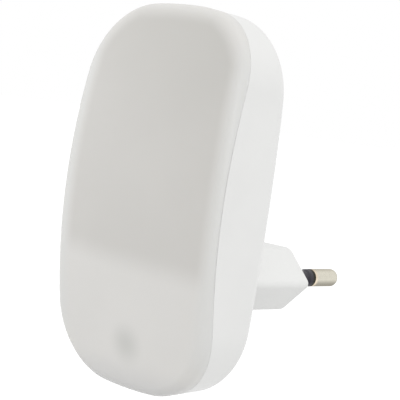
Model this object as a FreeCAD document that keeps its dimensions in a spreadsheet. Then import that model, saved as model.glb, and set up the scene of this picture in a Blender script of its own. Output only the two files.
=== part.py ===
import FreeCAD, Part
import math
import os
from types import SimpleNamespace

import Sketcher
from FreeCAD import Placement, Rotation, Vector

# Plug in night light, in millimetres.
# The origin is the centre of the plug's face that meets the wall socket.
# +Y points into the wall, +Z up, and +X to the right of someone facing the lamp.
# Inside the lamp a place is given by x and z from the lamp's middle,
# and by depth, the distance from the casing's back plane towards the front.

SIZES = {
    # outline of the lamp, seen from the front: eight arcs, each tangent to the next
    "lamp_width": 46.7,
    "lamp_height": 81.3,
    "side_radius": 410.0,
    "end_radius": 104.0,
    "corner_radius": 17.1,
    # the lamp from the side
    "plug_reach": 22.0,
    "lamp_centre_height": 15.0,
    "casing_depth": 15.8,
    "cover_rise": 2.55,
    "front_radius": 170.0,
    "crown_radius": 217.0,
    "rim_radius": 106.0,
    "draft_angle": 2.8,
    "front_edge_radius": 2.6,
    "back_edge_radius": 2.6,
    # walls and the lap joint between casing and cover
    "wall": 1.8,
    "back_wall": 2.0,
    "lap_wall": 0.9,
    "lip_clearance": 0.15,
    "lip_depth": 2.3,
    "lip_end_gap": 0.25,
    "parting_gap": 0.1,
    "ridge_radius": 0.5,
    "ridge_length": 14.0,
    "ridge_stand": 0.3,
    "ridge_clearance": 0.12,
    # reflector tray
    "tray_clearance": 0.4,
    "tray_wall": 1.0,
    "shelf_thickness": 1.2,
    "shelf_drop": 12.7,
    "chamber_floor": 1.0,
    "tallest_part": 5.1,
    "part_headroom": 0.5,
    "tray_plane": 6.4,
    "tray_screw_x": 11.0,
    "tray_screw_rise": 29.5,
    "tray_boss_radius": 3.4,
    "tray_seat_web": 1.2,
    "head_pocket_clearance": 0.3,
    "tray_leg_x": 12.6,
    "tray_leg_drop": 31.8,
    "tray_leg_radius": 2.5,
    "peg_radius": 1.0,
    "peg_height": 2.4,
    "peg_clearance": 0.1,
    "post_radius": 2.4,
    # plug block
    "plug_width": 35.4,
    "plug_thickness": 14.0,
    "plug_flat": 21.4,
    "plug_side_round": 1.3,
    "plug_corner_round": 3.0,
    "plug_end_round": 0.55,
    "plug_wall": 2.2,
    "plug_end_wall": 6.0,
    "plug_opening_clearance": 0.15,
    "flange_margin_x": 1.8,
    "flange_margin_z": 3.5,
    "flange_thickness": 1.8,
    "flange_standoff": 2.6,
    "flange_corner_round": 2.0,
    "plug_screw_inset_x": 2.2,
    "plug_screw_outset_z": 1.0,
    # contact pins, with their sleeves
    "pin_radius": 2.0,
    "pin_length": 19.0,
    "pin_spacing": 18.6,
    "pin_tip_spacing": 17.6,
    "pin_tip_round": 1.3,
    "pin_neck_radius": 1.25,
    "sleeve_length": 10.0,
    "sleeve_radius": 1.7,
    "sleeve_taper": 0.04,
    "sleeve_flare": 2.4,
    "sleeve_flare_slope": 0.6,
    "sleeve_anchor": 2.0,
    "collar_radius": 2.3,
    "collar_thickness": 1.5,
    "collar_inset": 3.5,
    "tail_radius": 1.1,
    "tail_end": 12.0,
    "pin_fit": 0.05,
    "sleeve_fit": 0.15,
    # screws
    "screw_radius": 1.1,
    "screw_head_radius": 2.0,
    "screw_head_height": 1.2,
    "screw_point": 1.0,
    "screw_slot_width": 0.6,
    "plug_screw_length": 5.0,
    "tray_screw_length": 4.6,
    "board_screw_length": 3.2,
    "small_screw_radius": 0.8,
    "small_screw_head_radius": 1.5,
    "small_screw_head_height": 0.8,
    "small_screw_length": 2.2,
    "thread_clearance": 0.05,
    "screw_hole_clearance": 0.25,
    # circuit boards
    "board_side_gap": 2.95,
    "board_flange_gap": 1.2,
    "board_post_gap": 0.5,
    "board_thickness": 1.2,
    "board_standoff": 1.2,
    "board_post_radius": 2.2,
    "board_screw_inset": 2.6,
    "lead_hole_clearance": 0.1,
    "led_board_width": 30.0,
    "led_board_height": 8.0,
    "led_board_thickness": 1.0,
    "led_board_rise": 12.0,
    "led_board_lift": 0.3,
    "led_pad_radius": 2.2,
    "led_screw_inset": 2.4,
    "led_pitch": 5.6,
    "led_width": 2.8,
    "led_height": 3.5,
    "led_thickness": 0.8,
    "led_cup_radius": 1.15,
    "led_cup_depth": 0.2,
    # light sensor and its shroud
    "sensor_drop": 30.4,
    "sensor_radius": 2.5,
    "sensor_thickness": 2.2,
    "sensor_recess": 0.4,
    "sensor_window_clearance": 0.3,
    "sensor_lead_spacing": 2.6,
    "sensor_lead_radius": 0.25,
    "sensor_lead_length": 1.4,
    "shroud_radius": 3.8,
    "shroud_length": 2.7,
    "shroud_grip": 0.8,
    "shroud_clearance": 0.05,
    "shroud_throat_radius": 1.9,
    "socket_wall": 0.9,
    # parts on the main board
    "lead_radius": 0.3,
    "lead_tail": 0.8,
    "lead_reach": 1.8,
    "film_capacitor_width": 13.0,
    "film_capacitor_height": 9.0,
    "film_capacitor_thickness": 4.2,
    "film_capacitor_pitch": 10.0,
    "film_capacitor_round": 0.5,
    "film_capacitor_inset": 9.5,
    "film_capacitor_lift": 1.9,
    "electrolytic_radius": 2.5,
    "electrolytic_length": 11.0,
    "electrolytic_pitch": 2.0,
    "electrolytic_crimp": 0.25,
    "electrolytic_crimp_place": 1.65,
    "electrolytic_inset": 15.5,
    "electrolytic_rise": 8.0,
    "bridge_width": 4.7,
    "bridge_height": 4.0,
    "bridge_thickness": 2.4,
    "bridge_inset": 6.0,
    "bridge_rise": 10.6,
    "resistor_radius": 1.6,
    "resistor_length": 9.0,
    "resistor_waist_radius": 1.35,
    "resistor_cap_length": 2.0,
    "resistor_cap_slope": 0.7,
    "resistor_shift": 5.5,
    "resistor_drop": 3.0,
    "barrel_bevel": 0.3,
    "diode_radius": 0.95,
    "diode_length": 4.0,
    "diode_shift": 6.0,
    "diode_drop": 2.6,
    "transistor_width": 2.9,
    "transistor_height": 1.4,
    "transistor_thickness": 1.0,
    "transistor_inset": 6.0,
    "transistor_drop": 6.0,
    "leg_width": 0.6,
    "leg_length": 0.9,
    "leg_thickness": 0.3,
    "chip_width": 3.2,
    "chip_height": 1.6,
    "chip_thickness": 0.6,
    "chip_inset": 5.8,
    "chip_lift": 2.8,
    "chip_column_pitch": 4.0,
    "chip_row_pitch": 3.4,
    # wires
    "mains_wire_radius": 0.6,
    "mains_wire_lift": 2.6,
    "sensor_wire_radius": 0.45,
    "sensor_wire_lift": 0.9,
    "led_wire_radius": 0.45,
    "led_wire_shift": 4.5,
    "led_wire_pitch": 3.0,
    "led_wire_drop": 6.6,
    "led_wire_lift": 2.0,
    "wire_landing": 2.0,
}

OVERLAP = 1.0          # how far a cutter or a fused foot runs past the face it meets
SMALLEST_ROUND = 0.2   # an inner edge with less than this left of its round stays sharp
TINY = 1e-6
LED_COUNT = 4
CROWN_REACH = 0.65     # half width of the front's cutter, as a share of the lamp's width
SLOT_REACH = 0.65      # arm of a screw's cross slot, as a share of the head's radius
SLOT_DEPTH = 0.55      # depth of a screw's cross slot, as a share of the head's height
LEG_SPREAD = 0.27      # from the middle of a case to its legs, as a share of its width
BEND_REACH = 0.45      # how much of the shorter run next to a bend the bend takes up

doc = FreeCAD.newDocument("night_light")


# Sizes and their formulas

class Length:
    """A number in millimetres, with the formula of sheet cells that gives it."""

    def __init__(self, value, formula):
        self.value = value
        self.formula = formula

    def joined(self, sign, other, value):
        return Length(value, "(%s %s %s)" % (self.formula, sign, other.formula))

    def __add__(self, other):
        other = as_length(other)
        return self.joined("+", other, self.value + other.value)

    def __sub__(self, other):
        other = as_length(other)
        return self.joined("-", other, self.value - other.value)

    def __rsub__(self, other):
        return as_length(other) - self

    def __mul__(self, other):
        other = as_length(other)
        return self.joined("*", other, self.value * other.value)

    def __truediv__(self, other):
        other = as_length(other)
        return self.joined("/", other, self.value / other.value)

    def __neg__(self):
        return Length(-self.value, "(-1 * %s)" % self.formula)

    __radd__ = __add__
    __rmul__ = __mul__


def as_length(number):
    if isinstance(number, Length):
        return number
    return Length(float(number), "(%r)" % float(number))


def root(area):
    return Length(math.sqrt(area.value), "sqrt(%s)" % area.formula)


def make_sheet():
    """Writes every size into the spreadsheet, and gives each as a Length."""
    sheet = doc.addObject("Spreadsheet::Sheet", "Sizes")
    for row, (alias, value) in enumerate(SIZES.items(), start=1):
        sheet.set("A%d" % row, alias)
        sheet.set("B%d" % row, str(value))
        sheet.setAlias("B%d" % row, alias)
    doc.recompute()
    return SimpleNamespace(**{a: Length(v, "Sizes." + a) for a, v in SIZES.items()})


def bind(item, path, length):
    item.setExpression(path, as_length(length).formula)


s = make_sheet()

half_width = s.lamp_width / 2
half_height = s.lamp_height / 2
front_apex = s.casing_depth + s.cover_rise
draft_slope = math.tan(math.radians(s.draft_angle.value))
draft_inset = s.casing_depth * Length(draft_slope, "tan(Sizes.draft_angle * 1deg)")
plug_axis_z = -s.lamp_centre_height

# levels inside the lamp, as depths
board_back = s.back_wall + s.board_standoff
board_front = board_back + s.board_thickness
chamber_back = board_front + s.tallest_part + s.part_headroom
chamber_front = chamber_back + s.chamber_floor
flange_back = s.back_wall + s.flange_standoff
flange_front = flange_back + s.flange_thickness
tray_inset = s.wall + s.tray_clearance
chamber_inset = tray_inset + s.tray_wall
tray_front = front_apex - tray_inset
shelf_back = tray_front - s.shelf_thickness
led_board_back = chamber_front + s.led_board_lift
led_board_front = led_board_back + s.led_board_thickness
tray_seat = s.tray_plane + s.tray_seat_web

# places on the main board
board_width = s.lamp_width - 2 * (s.wall + s.board_side_gap)
flange_half_z = s.plug_thickness / 2 + s.flange_margin_z
board_bottom = plug_axis_z + flange_half_z + s.board_flange_gap
board_top = s.tray_screw_rise - s.tray_boss_radius - s.board_post_gap
board_middle = (board_bottom + board_top) / 2
board_side = board_width / 2
board_screw_x = board_side - s.board_screw_inset
board_screw_low = board_bottom + s.board_screw_inset
board_screw_high = board_top - s.board_screw_inset
landing_z = board_bottom + s.wire_landing
plug_screw_x = s.plug_width / 2 - s.plug_screw_inset_x
plug_screw_z = s.plug_thickness / 2 + s.plug_screw_outset_z
led_screw_x = s.led_board_width / 2 - s.led_screw_inset


def sagged(apex_depth, z):
    """Depth at height z of a surface that arches with the front, from its depth at the middle."""
    radius = s.front_radius - (front_apex - apex_depth)
    return apex_depth - z * z / (2 * radius)


# Placing

def put(item, x=0, depth=0, z=0):
    """Places an item inside the lamp's own frame."""
    bind(item, "Placement.Base.x", x)
    bind(item, "Placement.Base.y", -as_length(depth))
    bind(item, "Placement.Base.z", z)
    return item


def put_in_lamp(item, x=0, depth=0, z=0):
    """Places a finished piece of the lamp in the frame of the whole light."""
    bind(item, "Placement.Base.x", x)
    bind(item, "Placement.Base.y", -(s.plug_reach + depth))
    bind(item, "Placement.Base.z", s.lamp_centre_height + z)
    return item


# Sketches

def new_sketch(body, name, role, offset=0):
    sketch = body.newObject("Sketcher::SketchObject", name)
    plane = next(f for f in body.Origin.OriginFeatures if f.Role == role)
    sketch.AttachmentSupport = [(plane, "")]
    sketch.MapMode = "FlatFace"
    bind(sketch, "AttachmentOffset.Base.z", offset)
    return sketch


def dimension(sketch, kind, places, length):
    index = sketch.addConstraint(Sketcher.Constraint(kind, *places, length.value))
    bind(sketch, "Constraints[%d]" % index, length)


def hold_point(sketch, edge, end, x, y):
    """Holds one point of a sketch at x, y from the sketch's origin."""
    for kind, axis, distance in (("DistanceX", -2, as_length(x)), ("DistanceY", -1, as_length(y))):
        if abs(distance.value) < TINY:
            sketch.addConstraint(Sketcher.Constraint("PointOnObject", edge, end, axis))
        elif distance.value > 0:
            dimension(sketch, kind, (-1, 1, edge, end), distance)
        else:
            dimension(sketch, kind, (edge, end, -1, 1), -distance)


def polygon(sketch, points):
    """Closed outline of straight lines through points given as sizes."""
    first = sketch.GeometryCount
    spots = [Vector(as_length(x).value, as_length(y).value, 0) for x, y in points]
    count = len(spots)
    for i in range(count):
        sketch.addGeometry(Part.LineSegment(spots[i], spots[(i + 1) % count]), False)
    for i in range(count):
        following = first + (i + 1) % count
        sketch.addConstraint(Sketcher.Constraint("Coincident", first + i, 2, following, 1))
        hold_point(sketch, first + i, 1, *points[i])


def rectangle(sketch, x, y, width, height):
    left = x - width / 2
    right = x + width / 2
    low = y - height / 2
    high = y + height / 2
    polygon(sketch, [(left, low), (right, low), (right, high), (left, high)])


def circle(sketch, x, y, radius):
    centre = Vector(as_length(x).value, as_length(y).value, 0)
    edge = sketch.addGeometry(Part.Circle(centre, Vector(0, 0, 1), radius.value), False)
    dimension(sketch, "Radius", (edge,), radius)
    hold_point(sketch, edge, 3, x, y)


def corner_centre():
    """Centre of the arc that is tangent, from inside, to the side arc and to the end arc."""
    side = s.lamp_width.value / 2 - s.side_radius.value
    end = s.lamp_height.value / 2 - s.end_radius.value
    side_reach = s.side_radius.value - s.corner_radius.value
    end_reach = s.end_radius.value - s.corner_radius.value
    apart = math.hypot(side, end)
    along = (side_reach**2 - end_reach**2 + apart**2) / (2 * apart)
    across = math.sqrt(side_reach**2 - along**2)
    toward = (-side / apart, end / apart)
    choices = [(side + along * toward[0] - k * across * toward[1],
                along * toward[1] + k * across * toward[0]) for k in (-1, 1)]
    return max(choices, key=sum)


def lamp_outline(sketch, inset):
    """The eight arcs of the lamp's outline, moved inwards by an inset."""
    cx, cz = corner_centre()
    side = s.side_radius - half_width
    end = s.end_radius - half_height
    first = math.atan2(cz, cx + side.value)
    last = math.atan2(cz + end.value, cx)
    half = math.pi
    side_radius = s.side_radius - inset
    end_radius = s.end_radius - inset
    corner_radius = s.corner_radius - inset
    arcs = [
        (-side.value, 0, side_radius, -first, first),
        (cx, cz, corner_radius, first, last),
        (0, -end.value, end_radius, last, half - last),
        (-cx, cz, corner_radius, half - last, half - first),
        (side.value, 0, side_radius, half - first, half + first),
        (-cx, -cz, corner_radius, half + first, half + last),
        (0, end.value, end_radius, half + last, 2 * half - last),
        (cx, -cz, corner_radius, 2 * half - last, 2 * half - first),
    ]
    for x, z, radius, start, stop in arcs:
        ring = Part.Circle(Vector(x, z, 0), Vector(0, 0, 1), radius.value)
        sketch.addGeometry(Part.ArcOfCircle(ring, start, stop), False)
    for i in range(8):
        sketch.addConstraint(Sketcher.Constraint("Tangent", i, 2, (i + 1) % 8, 1))
    for arc, like in ((4, 0), (6, 2), (3, 1), (5, 1), (7, 1)):
        sketch.addConstraint(Sketcher.Constraint("Equal", arc, like))
    dimension(sketch, "Radius", (0,), side_radius)
    dimension(sketch, "Radius", (1,), corner_radius)
    dimension(sketch, "Radius", (2,), end_radius)
    for arc, x, y in ((0, -side, 0), (4, side, 0), (2, 0, -end), (6, 0, end)):
        hold_point(sketch, arc, 3, x, y)


# Solids of a kind

def new_body(name):
    return doc.addObject("PartDesign::Body", name)


def pad(body, sketch, length):
    feature = body.newObject("PartDesign::Pad", sketch.Name + "_pad")
    feature.Profile = sketch
    bind(feature, "Length", length)
    return feature


def pocket(body, sketch, length):
    """Cuts from the sketch towards the back, and makes sure that it took something away."""
    before = body.Tip.Shape.Volume
    feature = body.newObject("PartDesign::Pocket", sketch.Name + "_pocket")
    feature.Profile = sketch
    bind(feature, "Length", length)
    doc.recompute()
    if feature.Shape.Volume > before - TINY:
        raise ValueError("%s removes nothing" % feature.Name)
    return feature


def round_edges(body, chosen, radius, name):
    base = body.Tip
    edges = ["Edge%d" % i for i, e in enumerate(base.Shape.Edges, start=1) if chosen(e)]
    feature = body.newObject("PartDesign::Fillet", name)
    feature.Base = (base, edges)
    bind(feature, "Radius", radius)
    doc.recompute()
    return feature


def runs_along_y(edge):
    box = edge.BoundBox
    return box.XLength < 0.01 and box.ZLength < 0.01


def prism(name, draw, start, length):
    """A body padded towards the front from a sketch at a depth."""
    body = new_body(name)
    sketch = new_sketch(body, name + "_outline", "XZ_Plane", start)
    draw(sketch)
    pad(body, sketch, length)
    doc.recompute()
    return body


def turned(name, points, axis):
    """A body of revolution. On V_Axis the points are (radius, y), on H_Axis (x, radius)."""
    body = new_body(name)
    sketch = new_sketch(body, name + "_profile", "XY_Plane")
    polygon(sketch, points)
    feature = body.newObject("PartDesign::Revolution", name + "_turn")
    feature.Profile = sketch
    feature.ReferenceAxis = (sketch, [axis])
    feature.Angle = 360
    doc.recompute()
    return body


def cylinder(name, radius, length, x=0, depth=0, z=0):
    """A plain cylinder that stands towards the front from a depth."""
    item = doc.addObject("Part::Cylinder", name)
    bind(item, "Radius", radius)
    bind(item, "Height", length)
    item.Placement.Rotation = Rotation(Vector(1, 0, 0), 90)
    return put(item, x, depth, z)


def block(name, width, thickness, height, x=0, depth=0, z=0):
    """A plain box, centred on x and z, whose back is at a depth."""
    width, thickness, height = as_length(width), as_length(thickness), as_length(height)
    item = doc.addObject("Part::Box", name)
    bind(item, "Length", width)
    bind(item, "Width", thickness)
    bind(item, "Height", height)
    return put(item, x - width / 2, depth + thickness, z - height / 2)


def arch(name, apex_depth, radius):
    """A long cylinder across the lamp; its surface passes through a depth at mid height."""
    item = doc.addObject("Part::Cylinder", name)
    bind(item, "Radius", radius)
    bind(item, "Height", 2 * s.lamp_width)
    item.Placement.Rotation = Rotation(Vector(0, 1, 0), 90)
    return put(item, -s.lamp_width, apex_depth - radius, 0)


def front_arch(name, apex_depth):
    """An arch that runs parallel to the front of the cover."""
    return arch(name, apex_depth, s.front_radius - (front_apex - apex_depth))


def rim_arch(name, behind):
    """An arch that runs parallel to the parting line, a distance behind it."""
    return arch(name, s.casing_depth - behind, s.rim_radius - behind)


def cut(name, base, tool):
    item = doc.addObject("Part::Cut", name)
    item.Base = base
    item.Tool = tool
    return item


def fuse(name, items):
    item = doc.addObject("Part::MultiFuse", name)
    item.Shapes = items
    return item


def common(name, items):
    item = doc.addObject("Part::MultiCommon", name)
    item.Shapes = items
    return item


def group(name, items):
    item = doc.addObject("Part::Compound", name)
    item.Links = items
    return item


def lamp_form(name, inset, back):
    """The whole lamp as one solid, with every face moved inwards by an inset.

    The outline is padded from the back plane and drafted, so that it widens to the
    parting line. A groove turned about an axis across the lamp leaves the front, which
    arches from top to bottom and is crowned from side to side.
    """
    inset = as_length(inset)
    body = new_body(name)
    outline = new_sketch(body, name + "_outline", "XZ_Plane", back)
    lamp_outline(outline, inset + draft_inset)
    slab = pad(body, outline, front_apex + OVERLAP - back)
    doc.recompute()
    sides = ["Face%d" % i for i, f in enumerate(slab.Shape.Faces, start=1)
             if f.Surface.TypeId == "Part::GeomCylinder"]
    draft = body.newObject("PartDesign::Draft", name + "_draft")
    draft.Base = (slab, sides)
    plane = next(f for f in body.Origin.OriginFeatures if f.Role == "XZ_Plane")
    draft.NeutralPlane = (plane, [""])
    bind(draft, "Angle", s.draft_angle)
    draft.Reversed = True
    # the draft finds its faces on the second pass
    doc.recompute()
    doc.recompute()

    crown = new_sketch(body, name + "_crown", "XY_Plane")
    crown_radius = s.crown_radius - inset
    apex = -(front_apex - inset)
    centre_y = apex + crown_radius
    reach = s.lamp_width * CROWN_REACH
    outer = 1.5 * apex - s.cover_rise
    swing = math.asin(reach.value / crown_radius.value)
    ring = Part.Circle(Vector(0, centre_y.value, 0), Vector(0, 0, 1), crown_radius.value)
    crown.addGeometry(Part.ArcOfCircle(ring, -math.pi / 2 - swing, -math.pi / 2 + swing), False)
    low_y = centre_y.value - crown_radius.value * math.cos(swing)
    path = [(reach.value, low_y), (reach.value, outer.value),
            (-reach.value, outer.value), (-reach.value, low_y)]
    for start, stop in zip(path[:-1], path[1:]):
        crown.addGeometry(Part.LineSegment(Vector(*start, 0), Vector(*stop, 0)), False)
    for i in range(4):
        ends = (i, 2, (i + 1) % 4, 1)
        crown.addConstraint(Sketcher.Constraint("Coincident", *ends))
    dimension(crown, "Radius", (0,), crown_radius)
    hold_point(crown, 0, 3, 0, centre_y)
    hold_point(crown, 2, 1, reach, outer)
    hold_point(crown, 2, 2, -reach, outer)
    crown.addConstraint(Sketcher.Constraint("Vertical", 1))
    crown.addConstraint(Sketcher.Constraint("Vertical", 3))
    axis_y = s.front_radius - front_apex
    axis = Part.LineSegment(Vector(-1, axis_y.value, 0), Vector(1, axis_y.value, 0))
    line = crown.addGeometry(axis, True)
    hold_point(crown, line, 1, -1, axis_y)
    hold_point(crown, line, 2, 1, axis_y)
    doc.recompute()
    before = draft.Shape.Volume
    groove = body.newObject("PartDesign::Groove", name + "_front")
    groove.Profile = crown
    groove.ReferenceAxis = (crown, ["Axis0"])
    groove.Angle = 60
    groove.Midplane = True
    doc.recompute()
    if groove.Shape.Volume > before - TINY:
        raise ValueError("%s removes nothing" % groove.Name)

    front = next(f for f in groove.Shape.Faces
                 if f.Surface.TypeId in ("Part::GeomSurfaceOfRevolution", "Part::GeomToroid"))

    def on_front_edge(edge):
        return any(edge.isSame(other) for other in front.Edges)

    front_round = s.front_edge_radius - inset
    if front_round.value > SMALLEST_ROUND:
        round_edges(body, on_front_edge, front_round, name + "_front_round")
    back_y = -as_length(back).value

    def on_back_edge(edge):
        box = edge.BoundBox
        return abs(box.YMin - back_y) < 0.01 and abs(box.YMax - back_y) < 0.01

    back_round = s.back_edge_radius - inset
    if back_round.value > SMALLEST_ROUND:
        round_edges(body, on_back_edge, back_round, name + "_back_round")
    return body


def outline_prism(name, inset, start, length):
    """A straight slab of the lamp's outline."""
    return prism(name, lambda sketch: lamp_outline(sketch, inset), start, length)


# Casing and cover

def make_shells():
    outer = lamp_form("outer_form", 0, as_length(0))
    inner = lamp_form("inner_form", s.wall, s.back_wall)
    lap = lamp_form("lap_form", s.lap_wall, as_length(0))
    lip = lamp_form("lip_form", s.lap_wall + s.lip_clearance, as_length(0))
    shell = cut("lamp_shell", outer, inner)

    ridge_x = half_width - s.lap_wall - s.lip_clearance - s.ridge_radius + s.ridge_stand
    ridge_depth = s.casing_depth - s.lip_depth / 2
    ridges = []
    grooves = []
    for side, sign in (("left", -1), ("right", 1)):
        for kind, clearance, items in (("ridge", 0, ridges), ("groove", s.ridge_clearance, grooves)):
            item = doc.addObject("Part::Cylinder", "snap_%s_%s" % (kind, side))
            bind(item, "Radius", s.ridge_radius + clearance)
            bind(item, "Height", s.ridge_length + 2 * as_length(clearance))
            low_z = -(s.ridge_length / 2 + clearance)
            items.append(put(item, sign * ridge_x, ridge_depth, low_z))

    beside_lip = cut("space_beside_lip", rim_arch("rim_cut", as_length(0)), lip)
    lipped = cut("cover_with_lip", shell, beside_lip)
    hood = cut("cover_hood", lipped, rim_arch("lip_end", s.lip_depth))
    cover = fuse("diffuser_cover", [hood] + ridges)

    back_half = common("casing_blank", [shell, rim_arch("casing_rim", s.parting_gap)])
    rebate_depth = s.lip_depth + s.lip_end_gap
    rebate = cut("rim_rebate", lap, rim_arch("rebate_floor", rebate_depth))
    posts = []
    pilots = []

    def add_post(name, x, z, top, radius, hole, bottom):
        foot = s.back_wall - OVERLAP
        posts.append(cylinder(name, radius, top - foot, x, foot, z))
        if hole is not None:
            pilots.append(cylinder(name + "_pilot", hole, top - bottom + OVERLAP, x, bottom, z))

    pilot = s.screw_radius + s.thread_clearance
    for sx, side in ((-1, "left"), (1, "right")):
        for sz, level in ((-1, "low"), (1, "high")):
            spot = "%s_%s" % (side, level)
            add_post("plug_boss_" + spot, sx * plug_screw_x, plug_axis_z + sz * plug_screw_z,
                     flange_back, s.post_radius, pilot,
                     flange_front - s.plug_screw_length - s.thread_clearance)
            board_z = board_screw_high if sz > 0 else board_screw_low
            add_post("board_boss_" + spot, sx * board_screw_x, board_z,
                     board_back, s.board_post_radius, pilot,
                     board_front - s.board_screw_length - s.thread_clearance)
        add_post("tray_post_" + side, sx * s.tray_screw_x, s.tray_screw_rise, s.tray_plane,
                 s.post_radius, pilot, tray_seat - s.tray_screw_length - s.thread_clearance)
        add_post("leg_post_" + side, sx * s.tray_leg_x, -s.tray_leg_drop, s.tray_plane,
                 s.tray_leg_radius, None, None)
        posts.append(cylinder("leg_peg_" + side, s.peg_radius, s.peg_height + OVERLAP,
                              sx * s.tray_leg_x, s.tray_plane - OVERLAP, -s.tray_leg_drop))

    opening = prism("plug_opening", lambda k: hexagon(k, -s.plug_opening_clearance),
                    -OVERLAP, s.back_wall + 2 * OVERLAP)
    put(opening, 0, 0, plug_axis_z)
    tray_like = cut("casing_rebated", back_half, rebate)
    solid = fuse("casing_with_posts", [tray_like] + posts)
    casing = cut("rear_casing", solid, fuse("casing_holes", [opening] + pilots + grooves))
    return [put_in_lamp(cover), put_in_lamp(casing)]


# Plug block

def hexagon(sketch, inset):
    """The plug's six-sided outline, moved inwards by an inset."""
    half = s.plug_width / 2
    flat = s.plug_flat / 2
    thick = s.plug_thickness / 2
    lean = half - flat
    slant = root(lean * lean + thick * thick)
    side = half - inset * slant / thick
    top = thick - inset
    corner = side - lean * top / thick
    polygon(sketch, [(side, 0), (corner, top), (-corner, top),
                     (-side, 0), (-corner, -top), (corner, -top)])


def make_plug_body():
    body = new_body("plug_block")
    outline = new_sketch(body, "plug_outline", "XZ_Plane")
    hexagon(outline, as_length(0))
    shank = s.plug_reach + flange_back
    pad(body, outline, shank)
    doc.recompute()
    side_x = s.plug_width.value / 2

    def at_side(edge):
        return runs_along_y(edge) and abs(abs(edge.CenterOfMass.x) - side_x) < 0.01

    def at_corner(edge):
        return runs_along_y(edge) and abs(edge.CenterOfMass.z) > s.plug_thickness.value / 2 - 0.01

    round_edges(body, at_corner, s.plug_corner_round, "plug_corner_rounds")
    round_edges(body, at_side, s.plug_side_round, "plug_side_rounds")

    def at_end(edge):
        return edge.BoundBox.YMin > -0.01

    round_edges(body, at_end, s.plug_end_round, "plug_end_rounds")

    flange = new_sketch(body, "flange_outline", "XZ_Plane", shank)
    flange_width = s.plug_width + 2 * s.flange_margin_x
    rectangle(flange, 0, as_length(0), flange_width, 2 * flange_half_z)
    pad(body, flange, s.flange_thickness)
    doc.recompute()
    flange_x = flange_width.value / 2

    def at_flange_corner(edge):
        return runs_along_y(edge) and abs(abs(edge.CenterOfMass.x) - flange_x) < 0.01

    round_edges(body, at_flange_corner, s.flange_corner_round, "flange_corner_rounds")

    front = shank + s.flange_thickness
    cavity = new_sketch(body, "plug_cavity", "XZ_Plane", front)
    hexagon(cavity, s.plug_wall)
    pocket(body, cavity, front - s.plug_end_wall)
    holes = new_sketch(body, "flange_holes", "XZ_Plane", front)
    hole = s.screw_radius + s.screw_hole_clearance
    for sx in (-1, 1):
        for sz in (-1, 1):
            circle(holes, sx * plug_screw_x, sz * plug_screw_z, hole)
    pocket(body, holes, s.flange_thickness)

    passages = fuse("pin_passages", [pin_passage("left", -1), pin_passage("right", 1)])
    return cut("plug_body", body, passages)


# Contact pins

def pin_place(item, sign):
    """Leans a pin, its sleeve or its passage inwards, about the point where it leaves the plug."""
    lean = math.degrees(math.atan((s.pin_spacing.value - s.pin_tip_spacing.value)
                                  / 2 / s.pin_length.value))
    item.Placement = Placement(Vector(0, 0, 0), Rotation(Vector(0, 0, 1), sign * lean))
    bind(item, "Placement.Base.x", sign * s.pin_spacing / 2)
    return item


def pin_profile(grow):
    """Half profile of a pin inside the plug block, widened by a clearance."""
    collar_front = -s.collar_inset + grow
    collar_back = -s.collar_inset - s.collar_thickness - grow
    tail = s.tail_radius + grow
    collar = s.collar_radius + grow
    neck = s.pin_neck_radius + grow
    return [(tail, collar_back), (collar, collar_back), (collar, collar_front), (neck, collar_front)]


def pin_passage(side, sign):
    bore = s.sleeve_radius + s.sleeve_fit
    step = -s.sleeve_anchor - s.pin_fit
    tail = s.tail_radius + s.pin_fit
    inside = -s.plug_end_wall - OVERLAP
    points = [(0, inside), (tail, inside)]
    points += pin_profile(s.pin_fit)
    points += [(s.pin_neck_radius + s.pin_fit, step), (bore, step), (bore, OVERLAP), (0, OVERLAP)]
    return pin_place(turned("%s_pin_passage" % side, points, "V_Axis"), sign)


def make_pin(side, sign):
    points = [(0, -s.tail_end), (s.tail_radius, -s.tail_end)]
    points += pin_profile(as_length(0))
    points += [(s.pin_neck_radius, s.sleeve_length), (s.pin_radius, s.sleeve_length),
               (s.pin_radius, s.pin_length), (0, s.pin_length)]
    body = turned("%s_pin" % side, points, "V_Axis")
    tip_y = s.pin_length.value

    def at_tip(edge):
        return edge.BoundBox.YMin > tip_y - 0.01 and edge.BoundBox.XLength > s.pin_radius.value

    round_edges(body, at_tip, s.pin_tip_round, "%s_pin_tip" % side)
    return pin_place(body, sign)


def make_sleeve(side, sign):
    bore = s.pin_neck_radius + s.pin_fit
    end = s.sleeve_length - s.pin_fit
    points = [(bore, -s.sleeve_anchor), (s.sleeve_radius, -s.sleeve_anchor),
              (s.sleeve_radius, end - s.sleeve_flare),
              (s.pin_radius - s.sleeve_taper, end - s.sleeve_flare + s.sleeve_flare_slope),
              (s.pin_radius, end), (bore, end)]
    return pin_place(turned("%s_pin_sleeve" % side, points, "V_Axis"), sign)


# Screws

def screw(name, radius, length, head_radius, head_height):
    """A cross-slotted screw along Y. Its head's underside is at y 0 and faces the wall."""
    bevel = head_height / 4
    points = [(0, -head_height), (head_radius - bevel, -head_height),
              (head_radius, -head_height + bevel), (head_radius, 0),
              (radius, 0), (radius, length - s.screw_point), (0, length)]
    body = turned(name, points, "V_Axis")
    cross = new_sketch(body, name + "_cross", "XZ_Plane", head_height)
    arm = head_radius * SLOT_REACH
    half = s.screw_slot_width / 2
    polygon(cross, [(arm, -half), (arm, half), (half, half), (half, arm),
                    (-half, arm), (-half, half), (-arm, half), (-arm, -half),
                    (-half, -half), (-half, -arm), (half, -arm), (half, -half)])
    pocket(body, cross, head_height * SLOT_DEPTH)
    return body


def screw_group(name, spots, length, seat, small=False):
    """Identical screws, as one node of separate solids."""
    if small:
        sizes = (s.small_screw_radius, length, s.small_screw_head_radius, s.small_screw_head_height)
    else:
        sizes = (s.screw_radius, length, s.screw_head_radius, s.screw_head_height)
    items = []
    for i, (x, z) in enumerate(spots, start=1):
        items.append(put(screw("%s_%d" % (name[:-1], i), *sizes), x, seat, z))
    return put_in_lamp(group(name, items))


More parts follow.
